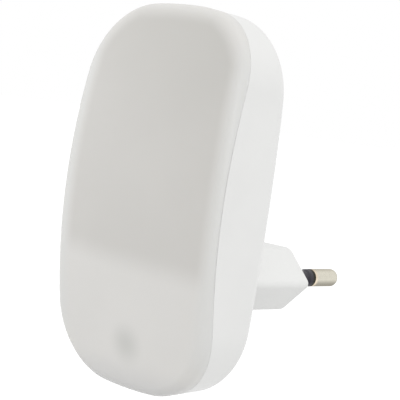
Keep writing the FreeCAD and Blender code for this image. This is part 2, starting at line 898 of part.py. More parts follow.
def make_screws():
    corners = [(sx, sz) for sx in (-1, 1) for sz in (-1, 1)]
    plug_spots = [(sx * plug_screw_x, plug_axis_z + sz * plug_screw_z) for sx, sz in corners]
    board_spots = [(sx * board_screw_x, board_screw_high if sz > 0 else board_screw_low)
                   for sx, sz in corners]
    tray_spots = [(sx * s.tray_screw_x, s.tray_screw_rise) for sx in (-1, 1)]
    led_spots = [(sx * led_screw_x, s.led_board_rise) for sx in (-1, 1)]
    return [
        screw_group("plug_screws", plug_spots, s.plug_screw_length, flange_front),
        screw_group("main_board_screws", board_spots, s.board_screw_length, board_front),
        screw_group("tray_screws", tray_spots, s.tray_screw_length, tray_seat),
        screw_group("led_board_screws", led_spots, s.small_screw_length, led_board_front, small=True),
    ]


# Reflector tray

def make_tray():
    form = lamp_form("tray_form", tray_inset, as_length(0))
    blank = cut("tray_blank", form, front_arch("tray_back", chamber_back))

    step_z = -s.shelf_drop
    step_back_z = step_z - s.tray_wall
    span = s.lamp_height
    inside = outline_prism("tray_inside", chamber_inset, as_length(0), front_apex + OVERLAP)
    upper = block("chamber_side", s.lamp_width, front_apex + OVERLAP, span, 0, 0, step_z + span / 2)
    lower = block("shelf_side", s.lamp_width, front_apex + OVERLAP, span, 0, 0, step_back_z - span / 2)
    chamber = cut("light_chamber", common("chamber_space", [inside, upper]),
                  front_arch("chamber_floor_face", chamber_front))
    inside_below = outline_prism("shelf_inside", chamber_inset, as_length(0), front_apex + OVERLAP)
    hollow = common("shelf_hollow", [inside_below, lower, front_arch("shelf_back_face", shelf_back)])
    pan = cut("tray_pan", cut("tray_chambered", blank, chamber), hollow)

    adds = []
    cuts = []
    floor_at_screw = sagged(chamber_back, s.tray_screw_rise)
    shelf_at_leg = sagged(shelf_back, s.tray_leg_drop)
    for sx, side in ((-1, "left"), (1, "right")):
        x = sx * s.tray_screw_x
        z = s.tray_screw_rise
        adds.append(cylinder("tray_boss_" + side, s.tray_boss_radius,
                             floor_at_screw - s.tray_plane + s.chamber_floor, x, s.tray_plane, z))
        cuts.append(cylinder("tray_hole_" + side, s.screw_radius + s.screw_hole_clearance,
                             front_apex, x, s.tray_plane - OVERLAP, z))
        cuts.append(cylinder("tray_head_pocket_" + side, s.screw_head_radius + s.head_pocket_clearance,
                             front_apex, x, tray_seat, z))
        x = sx * s.tray_leg_x
        z = -s.tray_leg_drop
        adds.append(cylinder("tray_leg_" + side, s.tray_leg_radius,
                             shelf_at_leg - s.tray_plane + s.shelf_thickness / 2, x, s.tray_plane, z))
        cuts.append(cylinder("tray_leg_socket_" + side, s.peg_radius + s.peg_clearance,
                             s.peg_height + s.peg_clearance + OVERLAP, x, s.tray_plane - OVERLAP, z))
        x = sx * led_screw_x
        z = s.led_board_rise
        pad_foot = sagged(chamber_back, s.led_board_rise) + s.chamber_floor / 2
        adds.append(cylinder("led_pad_" + side, s.led_pad_radius, led_board_back - pad_foot,
                             x, pad_foot, z))
        pilot_bottom = led_board_front - s.small_screw_length - s.thread_clearance
        cuts.append(cylinder("led_pilot_" + side, s.small_screw_radius + s.thread_clearance,
                             led_board_back - pilot_bottom + OVERLAP, x, pilot_bottom, z))
    for i, x in enumerate(led_wire_x, start=1):
        cuts.append(cylinder("led_wire_hole_%d" % i, s.led_wire_radius + s.screw_hole_clearance,
                             s.chamber_floor + 4 * OVERLAP, x,
                             sagged(chamber_back, led_wire_front_z) - 2 * OVERLAP, led_wire_front_z))

    sensor_z = -s.sensor_drop
    socket_back = shroud_back
    socket_length = sagged(shelf_back, s.sensor_drop) - socket_back + s.shelf_thickness / 2
    adds.append(cylinder("sensor_socket", s.shroud_radius + s.shroud_clearance + s.socket_wall,
                         socket_length, 0, socket_back, sensor_z))
    cuts.append(cylinder("sensor_socket_bore", s.shroud_radius + s.shroud_clearance,
                         s.shroud_length + OVERLAP + s.shroud_clearance,
                         0, socket_back - OVERLAP, sensor_z))
    cuts.append(cylinder("sensor_window", s.sensor_radius + s.sensor_window_clearance,
                         front_apex, 0, socket_back, sensor_z))
    solid = fuse("tray_with_bosses", [pan] + adds)
    return put_in_lamp(cut("reflector_tray", solid, fuse("tray_holes", cuts)))


# Light sensor

shelf_front_at_sensor = sagged(tray_front, s.sensor_drop)
sensor_face = shelf_front_at_sensor - s.sensor_recess
sensor_back = sensor_face - s.sensor_thickness
shroud_front = sensor_back + s.shroud_grip
shroud_back = shroud_front - s.shroud_length
sensor_lead_end = sensor_back - s.sensor_lead_length


def make_sensor():
    disc = cylinder("sensor_disc", s.sensor_radius, s.sensor_thickness, 0, sensor_back, -s.sensor_drop)
    leads = [cylinder("sensor_lead_" + side, s.sensor_lead_radius, s.sensor_lead_length + OVERLAP,
                      sx * s.sensor_lead_spacing / 2, sensor_lead_end, -s.sensor_drop)
             for sx, side in ((-1, "left"), (1, "right"))]
    sensor = fuse("light_sensor", [disc] + leads)

    seat = as_length(0)
    back = s.shroud_length - s.shroud_grip
    bore = s.sensor_radius + s.shroud_clearance
    throat = s.shroud_throat_radius
    points = [(throat, back), (s.shroud_radius, back), (s.shroud_radius, -s.shroud_grip),
              (bore, -s.shroud_grip), (bore, seat), (throat, seat)]
    shroud = turned("sensor_shroud", points, "V_Axis")
    return [put_in_lamp(sensor), put_in_lamp(shroud, 0, sensor_back, -s.sensor_drop)]


# Circuit boards and what they carry

# x and z of the middle of each part: an inset is from the board's side, a shift from its
# middle line, a rise from its lower edge, a drop from its upper edge, a lift from mid height
LEADED = {
    "film_capacitor": (s.film_capacitor_inset - board_side, board_middle + s.film_capacitor_lift),
    "electrolytic_capacitor": (board_side - s.electrolytic_inset,
                               board_bottom + s.electrolytic_rise),
    "fusible_resistor": (-s.resistor_shift, board_top - s.resistor_drop),
    "zener_diode": (s.diode_shift, board_top - s.diode_drop),
}
RECTIFIER = (board_side - s.bridge_inset, board_bottom + s.bridge_rise)
TRANSISTOR = (board_side - s.transistor_inset, board_top - s.transistor_drop)
CHIPS = [(board_side - s.chip_inset + sx * s.chip_column_pitch / 2,
          board_middle + s.chip_lift + sz * s.chip_row_pitch / 2)
         for sz in (-1, 1) for sx in (-1, 1)]
led_wire_x = [s.led_wire_shift + sx * s.led_wire_pitch / 2 for sx in (-1, 1)]
led_wire_back_z = board_top - s.led_wire_drop
led_wire_front_z = s.led_board_rise + s.led_wire_lift


def lead_spots():
    """Places of the holes that leads take through the main board."""
    spots = []
    x, z = LEADED["film_capacitor"]
    for sx in (-1, 1):
        spots.append((x + sx * s.film_capacitor_pitch / 2, as_length(z)))
    x, z = LEADED["electrolytic_capacitor"]
    for sz in (-1, 1):
        spots.append((x - s.electrolytic_length / 2 - s.lead_reach,
                      z + sz * s.electrolytic_pitch / 2))
    for name, length in (("fusible_resistor", s.resistor_length), ("zener_diode", s.diode_length)):
        x, z = LEADED[name]
        for sx in (-1, 1):
            spots.append((x + sx * (length / 2 + s.lead_reach), as_length(z)))
    return spots


def make_boards():
    def draw_main(sketch):
        rectangle(sketch, as_length(0), board_middle, board_width, board_top - board_bottom)
        hole = s.screw_radius + s.screw_hole_clearance
        for sx in (-1, 1):
            for z in (board_screw_low, board_screw_high):
                circle(sketch, sx * board_screw_x, z, hole)
        for x, z in lead_spots():
            circle(sketch, x, z, s.lead_radius + s.lead_hole_clearance)

    def draw_led(sketch):
        rectangle(sketch, as_length(0), s.led_board_rise, s.led_board_width, s.led_board_height)
        hole = s.small_screw_radius + s.screw_hole_clearance
        for sx in (-1, 1):
            circle(sketch, sx * led_screw_x, s.led_board_rise, hole)

    main = prism("main_board", draw_main, as_length(0), s.board_thickness)
    strip = prism("led_board", draw_led, as_length(0), s.led_board_thickness)
    return [put_in_lamp(main, 0, board_back, 0), put_in_lamp(strip, 0, led_board_back, 0)]


def make_leds():
    def draw_led(sketch):
        rectangle(sketch, as_length(0), as_length(0), s.led_width, s.led_height)

    leds = []
    for i in range(LED_COUNT):
        name = "led_%d" % (i + 1)
        body = prism(name, draw_led, as_length(0), s.led_thickness)
        cup = new_sketch(body, name + "_cup", "XZ_Plane", s.led_thickness)
        circle(cup, 0, 0, s.led_cup_radius)
        pocket(body, cup, s.led_cup_depth)
        x = (i - (LED_COUNT - 1) / 2) * s.led_pitch
        leds.append(put_in_lamp(body, x, led_board_front, s.led_board_rise))
    return leds


def straight_lead(name, x, z):
    """A lead that leaves the back of a part and passes through the main board."""
    back = board_back - s.lead_tail
    return cylinder(name, s.lead_radius, board_front - back + OVERLAP / 2, x, back, z)


def bent_lead(name, x, z, out, height):
    """A lead that leaves the end of a part along X and bends back through the main board."""
    reach = s.lead_reach.value
    start = Vector(x.value - out * OVERLAP, -height.value, z.value)
    corner = Vector(x.value + out * reach, -height.value, z.value)
    end = Vector(corner.x, -(board_back.value - s.lead_tail.value), z.value)
    item = doc.addObject("Part::Feature", name)
    item.Shape = tube([start, corner, end], s.lead_radius.value, name)
    return item


def barrel_profile(length, radius, waist=None):
    """Half profile of a small barrel with bevelled ends, waisted between its caps on request."""
    half = length / 2
    bevel = s.barrel_bevel
    points = [(-half, 0), (-half, radius - bevel), (-half + bevel, radius)]
    if waist is not None:
        shoulder = half - s.resistor_cap_length
        inner = shoulder - s.resistor_cap_slope
        points += [(-shoulder, radius), (-inner, waist), (inner, waist), (shoulder, radius)]
    points += [(half - bevel, radius), (half, radius - bevel), (half, 0)]
    return points


def make_board_parts():
    parts = []
    x, z = LEADED["film_capacitor"]

    def draw_case(sketch):
        rectangle(sketch, as_length(0), as_length(0),
                  s.film_capacitor_width, s.film_capacitor_height)

    box = prism("film_capacitor_case", draw_case, as_length(0), s.film_capacitor_thickness)

    def off_the_board(edge):
        return edge.BoundBox.YMin < -0.1

    round_edges(box, off_the_board, s.film_capacitor_round, "film_capacitor_rounds")
    put(box, x, board_front, z)
    leads = [straight_lead("film_capacitor_lead_" + side, x + sx * s.film_capacitor_pitch / 2, z)
             for sx, side in ((-1, "left"), (1, "right"))]
    parts.append(put_in_lamp(fuse("film_capacitor", [box] + leads)))

    x, z = LEADED["electrolytic_capacitor"]
    half = s.electrolytic_length / 2
    full = s.electrolytic_radius
    waist = full - s.electrolytic_crimp
    crimp_at = -half + s.electrolytic_crimp_place
    points = [(-half, 0), (-half, full), (crimp_at - s.electrolytic_crimp, full),
              (crimp_at, waist), (crimp_at + s.electrolytic_crimp, full),
              (half - s.electrolytic_crimp, full), (half, waist), (half, 0)]
    can = turned("electrolytic_can", points, "H_Axis")
    centre = board_front + full + s.lead_hole_clearance
    put(can, x, centre, z)
    leads = [bent_lead("electrolytic_lead_" + side, x - half,
                       z + sz * s.electrolytic_pitch / 2, -1, centre)
             for sz, side in ((-1, "low"), (1, "high"))]
    parts.append(put_in_lamp(fuse("electrolytic_capacitor", [can] + leads)))

    for name, radius, length, waist in (
            ("fusible_resistor", s.resistor_radius, s.resistor_length, s.resistor_waist_radius),
            ("zener_diode", s.diode_radius, s.diode_length, None)):
        x, z = LEADED[name]
        half = length / 2
        barrel = turned(name + "_barrel", barrel_profile(length, radius, waist), "H_Axis")
        centre = board_front + radius + s.lead_hole_clearance
        put(barrel, x, centre, z)
        leads = [bent_lead(name + "_lead_" + side, x + sx * half, as_length(z), sx, centre)
                 for sx, side in ((-1, "left"), (1, "right"))]
        parts.append(put_in_lamp(fuse(name, [barrel] + leads)))

    for name, (x, z), width, height, thickness, legs in (
            ("rectifier_bridge", RECTIFIER, s.bridge_width, s.bridge_height, s.bridge_thickness,
             [(-1, -1), (-1, 1), (1, -1), (1, 1)]),
            ("switching_transistor", TRANSISTOR, s.transistor_width, s.transistor_height,
             s.transistor_thickness, [(-1, -1), (1, -1), (0, 1)])):
        items = [block(name + "_case", width, thickness, height, x, board_front, z)]
        for i, (lx, lz) in enumerate(legs, start=1):
            leg_z = z + lz * (height / 2 + s.leg_length / 4)
            items.append(block("%s_leg_%d" % (name, i), s.leg_width, s.leg_thickness, s.leg_length,
                               x + lx * width * LEG_SPREAD, board_front, leg_z))
        parts.append(put_in_lamp(fuse(name, items)))

    def draw_chip(sketch):
        rectangle(sketch, as_length(0), as_length(0), s.chip_width, s.chip_height)

    for i, (x, z) in enumerate(CHIPS, start=1):
        body = prism("chip_resistor_%d" % i, draw_chip, as_length(0), s.chip_thickness)
        parts.append(put_in_lamp(body, x, board_front, z))
    return parts


# Wires

def tube(points, radius, name):
    """Round wire along straight runs joined by tangent arcs, as large as the runs allow."""
    edges = []
    start = points[0]
    radii = []
    for before, corner, after in zip(points[:-2], points[1:-1], points[2:]):
        back = before - corner
        onward = after - corner
        turn = math.pi - back.getAngle(onward)
        reach = BEND_REACH * min(back.Length, onward.Length)
        bend = reach / math.tan(turn / 2)
        back.normalize()
        onward.normalize()
        middle = back + onward
        middle.normalize()
        centre = corner + middle * (bend / math.cos(turn / 2))
        enter = corner + back * reach
        leave = corner + onward * reach
        edges.append(Part.LineSegment(start, enter).toShape())
        edges.append(Part.Arc(enter, centre - middle * bend, leave).toShape())
        radii.append(round(bend, 2))
        start = leave
    edges.append(Part.LineSegment(start, points[-1]).toShape())
    path = Part.Wire(edges)
    section = Part.Wire(Part.makeCircle(radius, points[0], points[1] - points[0]))
    solid = path.makePipeShell([section], True, False)
    expected = math.pi * radius**2 * path.Length
    print("%s: length %.1f, bends %s, volume ratio %.4f"
          % (name, path.Length, radii, solid.Volume / expected))
    return solid


def in_lamp(x, depth, z):
    return Vector(x, -depth, z)


def make_wires():
    landing = landing_z.value
    board = board_front.value
    wires = []

    tail_depth = s.tail_end.value + s.pin_fit.value - s.plug_reach.value
    lift = flange_front.value + s.mains_wire_lift.value
    lean = (s.pin_spacing.value - s.pin_tip_spacing.value) / 2 / s.pin_length.value
    tail_x = s.pin_spacing.value / 2 + lean * s.tail_end.value
    for name, sign in (("live_wire", 1), ("neutral_wire", -1)):
        x = sign * tail_x
        points = [in_lamp(x, tail_depth, plug_axis_z.value), in_lamp(x, lift, plug_axis_z.value),
                  in_lamp(x, lift, landing), in_lamp(x, board, landing)]
        wires.append((name, points, s.mains_wire_radius.value))

    run = flange_front.value + s.sensor_wire_lift.value
    for name, sign in (("sensor_wire_left", -1), ("sensor_wire_right", 1)):
        x = sign * s.sensor_lead_spacing.value / 2
        low = -s.sensor_drop.value
        points = [in_lamp(x, sensor_lead_end.value, low), in_lamp(x, run, low),
                  in_lamp(x, run, landing), in_lamp(x, board, landing)]
        wires.append((name, points, s.sensor_wire_radius.value))

    strip = led_board_back.value
    step = (strip - board) / 3
    for name, x in zip(("led_positive_wire", "led_negative_wire"), led_wire_x):
        points = [in_lamp(x.value, board, led_wire_back_z.value),
                  in_lamp(x.value, board + step, led_wire_back_z.value),
                  in_lamp(x.value, strip - step, led_wire_front_z.value),
                  in_lamp(x.value, strip, led_wire_front_z.value)]
        wires.append((name, points, s.led_wire_radius.value))

    items = []
    for name, points, radius in wires:
        item = doc.addObject("Part::Feature", name)
        item.Shape = tube(points, radius, name)
        items.append(put_in_lamp(item))
    return items


def main():
    nodes = make_shells()
    nodes.append(make_tray())
    nodes.append(make_plug_body())
    for side, sign in (("left", -1), ("right", 1)):
        nodes.append(make_pin(side, sign))
        nodes.append(make_sleeve(side, sign))
    nodes += make_screws()
    nodes += make_sensor()
    nodes += make_boards()
    nodes += make_leds()
    nodes += make_board_parts()
    nodes += make_wires()
    doc.recompute()
    doc.recompute()

    for item in doc.Objects:
        if "Invalid" in item.State or "Error" in item.State:
            raise ValueError("%s failed: %s" % (item.Name, item.State))
    os.makedirs("parts", exist_ok=True)
    for node in nodes:
        node.Label = node.Name
        if node.Shape.isNull() or not node.Shape.isValid():
            raise ValueError("%s has no valid shape" % node.Label)
    for node in nodes:
        node.Shape.exportStep("parts/%s.step" % node.Label)
        box = node.Shape.BoundBox
        print("%-24s solids %d  volume %9.2f  x %6.1f %6.1f  y %6.1f %6.1f  z %6.1f %6.1f"
              % (node.Label, len(node.Shape.Solids), node.Shape.Volume,
                 box.XMin, box.XMax, box.YMin, box.YMax, box.ZMin, box.ZMax))


main()
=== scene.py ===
import math

import bpy
import numpy as np
from bpy.props import FloatProperty, FloatVectorProperty, PointerProperty
from mathutils import Matrix, Vector


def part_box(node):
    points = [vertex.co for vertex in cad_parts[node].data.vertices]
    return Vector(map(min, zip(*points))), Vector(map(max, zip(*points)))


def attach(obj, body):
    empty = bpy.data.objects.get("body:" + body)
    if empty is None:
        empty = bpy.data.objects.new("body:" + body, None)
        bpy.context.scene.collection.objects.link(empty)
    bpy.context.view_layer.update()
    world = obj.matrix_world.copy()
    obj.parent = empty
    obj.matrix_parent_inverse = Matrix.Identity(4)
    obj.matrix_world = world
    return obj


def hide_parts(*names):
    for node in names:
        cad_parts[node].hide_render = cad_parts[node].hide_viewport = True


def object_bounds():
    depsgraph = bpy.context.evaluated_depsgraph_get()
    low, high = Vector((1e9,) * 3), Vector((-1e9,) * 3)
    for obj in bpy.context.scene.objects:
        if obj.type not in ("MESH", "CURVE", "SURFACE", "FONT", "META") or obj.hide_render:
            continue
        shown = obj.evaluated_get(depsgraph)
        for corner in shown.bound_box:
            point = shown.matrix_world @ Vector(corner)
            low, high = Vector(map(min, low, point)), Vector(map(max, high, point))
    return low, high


bl_info = {
    "name": "Plug In Night Light",
    "version": (1, 0, 0),
    "blender": (4, 5, 0),
    "location": "3D View > Sidebar > Night Light",
    "description": "Builds the shells, finishes and stage of a plug in night light",
    "category": "Add Mesh",
}

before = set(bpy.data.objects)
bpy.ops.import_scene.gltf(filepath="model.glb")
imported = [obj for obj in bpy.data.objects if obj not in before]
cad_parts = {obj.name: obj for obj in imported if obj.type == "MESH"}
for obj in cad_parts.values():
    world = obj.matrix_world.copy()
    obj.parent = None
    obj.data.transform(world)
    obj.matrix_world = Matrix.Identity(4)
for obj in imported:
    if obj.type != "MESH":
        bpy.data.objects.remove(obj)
cad_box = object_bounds()

# Inside the lamp a point is (x, depth, z) in millimetres: x and z from the lamp's middle,
# depth from the casing's back plane towards the front.
MM = 0.001
ARC_STEPS = {"side": 40, "corner": 30, "end": 28}  # points on each arc of the outline
ROD_STEPS = 40         # points round a post, a peg, a pilot hole or a snap ridge
SETTLE = 8             # passes that a ring takes to settle on two surfaces
HALVINGS = 30          # halvings that find where the profile meets the parting line
HOLD = 0.1             # how far past a rounded corner the next ring lies
SMOOTH_ANGLE = math.radians(35)
ROOT = "root"          # the one body, which every piece rides on

# How the chamber, the platform and the light sensor show through the milky cover, with
# painted shade over the chamber and at the foot and a painted glow at the thick edge.
# Heights are from the lamp's middle, and gaps are inwards from its outline.
SEEN_SHIFT = 0.9, 0.8        # how far aside and up they are seen
ROUNDER = 1.1                # how much rounder the chamber's corners are than the outline's
CORNER_EASE = 0.8            # how much wider a gap counts in a corner
WALL_GAPS = 1.5, 5.1         # gaps between which the chamber's painted shade fades in
STEP_HEIGHTS = -17.2, -10.8  # heights between which the platform gives way to the chamber
STEP_SLOPE = 0.03            # fall of that step from side to side
EDGE_GAPS = 5.0, 1.0         # gaps to the side between which the edge's painted glow fades in
DIM_HEIGHTS = 4.0, 40.0      # heights between which the painted shade deepens
DIM_SLOPE = 0.35             # fall of these heights from side to side
FOOT_HEIGHTS = -33.5, -42.0  # heights between which the painted shade at the foot fades in
SPOT_PLACE = 0.4, -31.3      # x and z of the sensor spot's middle
SPOT_RADII = 5.6, 0.2        # radii between which the spot fades in

# Tones of the parts inside
BLACK = (0.015, 0.015, 0.015)
BROWN = (0.10, 0.04, 0.015)
RED = (0.35, 0.02, 0.015)
GOLD = (0.45, 0.28, 0.05)
TINNED = (0.62, 0.61, 0.58)


# Settings

def length(name, description, millimetres):
    """A length setting, given in millimetres and kept in metres."""
    return FloatProperty(name=name, description=description, default=millimetres * MM,
                         unit="LENGTH", precision=5)


def angle(name, description, degrees):
    """An angle setting, given in degrees and kept in radians."""
    return FloatProperty(name=name, description=description, default=math.radians(degrees),
                         unit="ROTATION")


def colour(name, description, value):
    """A colour setting."""
    return FloatVectorProperty(name=name, description=description, default=value,
                               subtype="COLOR", size=3, min=0.0, max=1.0)


class NightLightShape(bpy.types.PropertyGroup):
    """Sizes of the casing and the cover"""

    lamp_width: length("Lamp width", "Width of the lamp at the parting line", 46.7)
    lamp_height: length("Lamp height", "Height of the lamp at the parting line", 81.3)
    side_radius: length("Side radius", "Radius of the outline's long sides", 410.0)
    end_radius: length("End radius", "Radius of the outline's top and bottom", 104.0)
    corner_radius: length("Corner radius", "Radius of the outline's corners", 17.1)
    plug_reach: length("Plug reach", "From the wall plate to the casing's back", 22.0)
    centre_height: length("Centre height", "From the plug's axis up to the lamp's middle", 15.0)
    casing_depth: length("Casing depth", "Depth of the parting line at mid height", 15.8)
    cover_rise: length("Cover rise", "How far the cover stands past the parting line", 2.55)
    front_radius: length("Front radius", "Arch of the front from top to bottom", 170.0)
    crown_radius: length("Crown radius", "Crown of the front from side to side", 217.0)
    rim_radius: length("Rim radius", "Arch of the parting line", 106.0)
    front_round: length("Front edge round", "Round of the cover's front edge", 2.6)
    back_round: length("Back edge round", "Round of the casing's back edge", 2.6)
    wall: length("Wall", "Wall of the casing and the cover", 1.8)
    back_wall: length("Back wall", "Wall of the casing's back", 2.0)
    lap_wall: length("Lap wall", "Wall of the casing's rim beside the cover's lip", 0.9)
    lip_clearance: length("Lip clearance", "Gap between the lip and the casing's rim", 0.15)
    lip_depth: length("Lip depth", "How far the lip reaches into the casing", 2.3)
    lip_end_gap: length("Lip end gap", "Gap behind the end of the lip", 0.25)
    ridge_radius: length("Ridge radius", "Radius of the two snap ridges", 0.5)
    ridge_stand: length("Ridge stand", "How far the ridges stand out of the lip", 0.3)
    ridge_length: length("Ridge length", "Length of the two snap ridges", 14.0)
    ridge_clearance: length("Ridge clearance", "Gap round a ridge in its groove", 0.12)
    parting_gap: length("Parting gap", "Gap between the casing's rim and the cover", 0.03)
    edge_round: length("Parting edge round", "Round of the two edges at the parting line", 0.08)
    draft: angle("Draft", "Lean of the lamp's sides", 2.8)


class NightLightFinish(bpy.types.PropertyGroup):
    """Colours of what is seen from outside"""

    cover: colour("Cover", "Milky cover over the platform", (0.700, 0.690, 0.668))
    # Painted shade: the cover over the deep chamber is darker, and darker still at its dim end.
    recess_shade: colour("Cover over the recess", "Milky cover over the light chamber",
                   (0.602, 0.590, 0.565))
    recess_deep_shade: colour("Cover over the dim end", "Milky cover over the chamber's dimmer end",
                       (0.556, 0.545, 0.518))
    # Painted light: the thick edge is lighter, as a glow of light through it.
    cover_edge_glow: colour("Cover edge", "Thick edge of the milky cover", (0.698, 0.698, 0.682))
    # Painted shade: the cover is darker at its lower end.
    cover_foot_shade: colour("Cover foot", "Milky cover at its lower end", (0.602, 0.598, 0.592))
    sensor_spot: colour("Sensor spot", "Milky cover over the light sensor",
                        (0.592, 0.590, 0.568))
    casing: colour("Casing", "Satin white of the casing", (0.796, 0.797, 0.786))
    plug: colour("Plug block", "Fine matt white of the plug block", (0.800, 0.802, 0.790))
    pin: colour("Pin", "Nickel plate on the pins", (0.740, 0.710, 0.610))
    sleeve: colour("Sleeve", "Dark insulating sleeves", (0.062, 0.060, 0.070))


class NightLightStage(bpy.types.PropertyGroup):
    """Light, floor and camera"""

    sky_strength: FloatProperty(name="Sky", description="Strength of the even light all round",
                                default=1.0, min=0.0)
    lamp_strength: FloatProperty(name="Lamps", description="Power of each soft lamp, in watts",
                                 default=0.92, min=0.0)
    floor_drop: length("Floor drop", "From the lamp's lower end down to the floor", 60.0)
    camera_distance: length("Camera distance", "From the camera to its aim", 287.816)
    camera_azimuth: angle("Azimuth", "Camera's angle round the lamp", 42.976)
    camera_elevation: angle("Elevation", "Camera's angle above level", 4.035)
    camera_roll: angle("Roll", "Turn of the camera about its own axis", 7.929)
    camera_lens: FloatProperty(name="Lens", description="Focal length on a 36 mm sensor",
                               default=124.362, min=1.0)
    camera_aim: FloatVectorProperty(name="Aim", description="Point in the picture's middle",
                                    default=(0.0062919, -0.0266245, 0.0158516),
                                    subtype="TRANSLATION", size=3)


# Meshes

def unit(vectors):
    """Vectors divided by their lengths."""
    return vectors / np.linalg.norm(vectors, axis=-1, keepdims=True)


def slerp(first, last, share):
    """Unit vectors on the great arc from first to last: sin((1-s)a)/sin a and sin(s a)/sin a
    times the two ends, where a is the angle between them."""
    angle = np.arccos(np.clip((first * last).sum(-1, keepdims=True), -1, 1))
    return (np.sin((1 - share) * angle) * first + np.sin(share * angle) * last) / np.sin(angle)


def ring_faces(rings, count, closed):
    """Quads between neighbouring rings of a grid of rings by count points."""
    i, j = np.meshgrid(np.arange(rings if closed else rings - 1), np.arange(count),
                       indexing="ij")
    i, j = i.ravel(), j.ravel()
    up, side = (i + 1) % rings, (j + 1) % count
    return np.stack([i * count + j, i * count + side, up * count + side, up * count + j], 1)


def signed_volume(points, faces):
    """Sixth part of the triple products of the triangles of each face's fan."""
    total = 0.0
    for a, b, c in [(0, 1, 2), (0, 2, 3)][:faces.shape[1] - 2]:
        p, q, r = points[faces[:, a]], points[faces[:, b]], points[faces[:, c]]
        total += (p * np.cross(q, r)).sum() / 6
    return total


def make_mesh(name, points, quads, fans=()):
    """A closed mesh from points in metres. Faces are turned outwards by their volume's sign."""
    parts = [quads] + [fan for fan in fans if len(fan)]
    if sum(signed_volume(points, part) for part in parts) < 0:
        parts = [part[:, ::-1] for part in parts]
    mesh = bpy.data.meshes.new(name)
    mesh.from_pydata(points.tolist(), [], [face for part in parts for face in part.tolist()])
    mesh.shade_smooth()
    mesh.set_sharp_from_angle(angle=SMOOTH_ANGLE)
    mesh.update()
    return mesh


def add_object(name, mesh):
    """A new object of the scene with a mesh."""
    item = bpy.data.objects.new(name, mesh)
    bpy.context.scene.collection.objects.link(item)
    return item


def caps(count, top, first, last):
    """Triangles from one pole to the first ring of a grid, and from another to the ring that
    starts at top."""
    j = np.arange(count)
    after = (j + 1) % count
    return [np.stack([np.full(count, first), after, j], 1),
            np.stack([np.full(count, last), top + j, top + after], 1)]


def rings_to_mesh(name, rings, place, poles=None, closed=False):
    """A surface through a list of rings, each an array of count by 3 points. It is closed by
    a pole at either end, or by joining its last ring to its first."""
    count = len(rings[0])
    grid = np.concatenate(rings)
    quads = ring_faces(len(rings), count, closed)
    fans = []
    if poles is not None:
        fans = caps(count, len(grid) - count, len(grid), len(grid) + 1)
        grid = np.concatenate([grid, np.array(poles)])
    return make_mesh(name, place(grid), quads, fans)


def rounded(before, corner, after, radius, steps=4):
    """Rings that replace a corner of a profile by an arc tangent to both its sides.

    With half the corner's angle h, the arc starts radius / tan(h) along either side, and its
    centre lies radius / sin(h) along the line that halves the corner.
    """
    back, onward = unit(before - corner), unit(after - corner)
    half = np.arccos(np.clip((back * onward).sum(-1, keepdims=True), -1, 1)) / 2
    reach = radius / np.tan(half)
    centre = corner + unit(back + onward) * radius / np.sin(half)
    start, stop = corner + back * reach, corner + onward * reach
    first, last = (start - centre) / radius, (stop - centre) / radius
    arc = [centre + radius * slerp(first, last, k / steps) for k in range(steps + 1)]
    return [start + back * HOLD] + arc + [stop + onward * HOLD]


def lathe(profile, centre, steps, axis=1):
    """Rings of a profile of (radius, height) turned about a line through centre:
    x = radius cos a, z = radius sin a, height along the axis."""
    angle = np.linspace(0, 2 * math.pi, steps, endpoint=False)
    others = [k for k in range(3) if k != axis]
    rings = []
    for radius, height in profile:
        ring = np.zeros((steps, 3))
        ring[:, others[0]] = radius * np.cos(angle)
        ring[:, others[1]] = radius * np.sin(angle)
        ring[:, axis] = height
        rings.append(ring + np.array(centre))
    return rings


# Lamp form

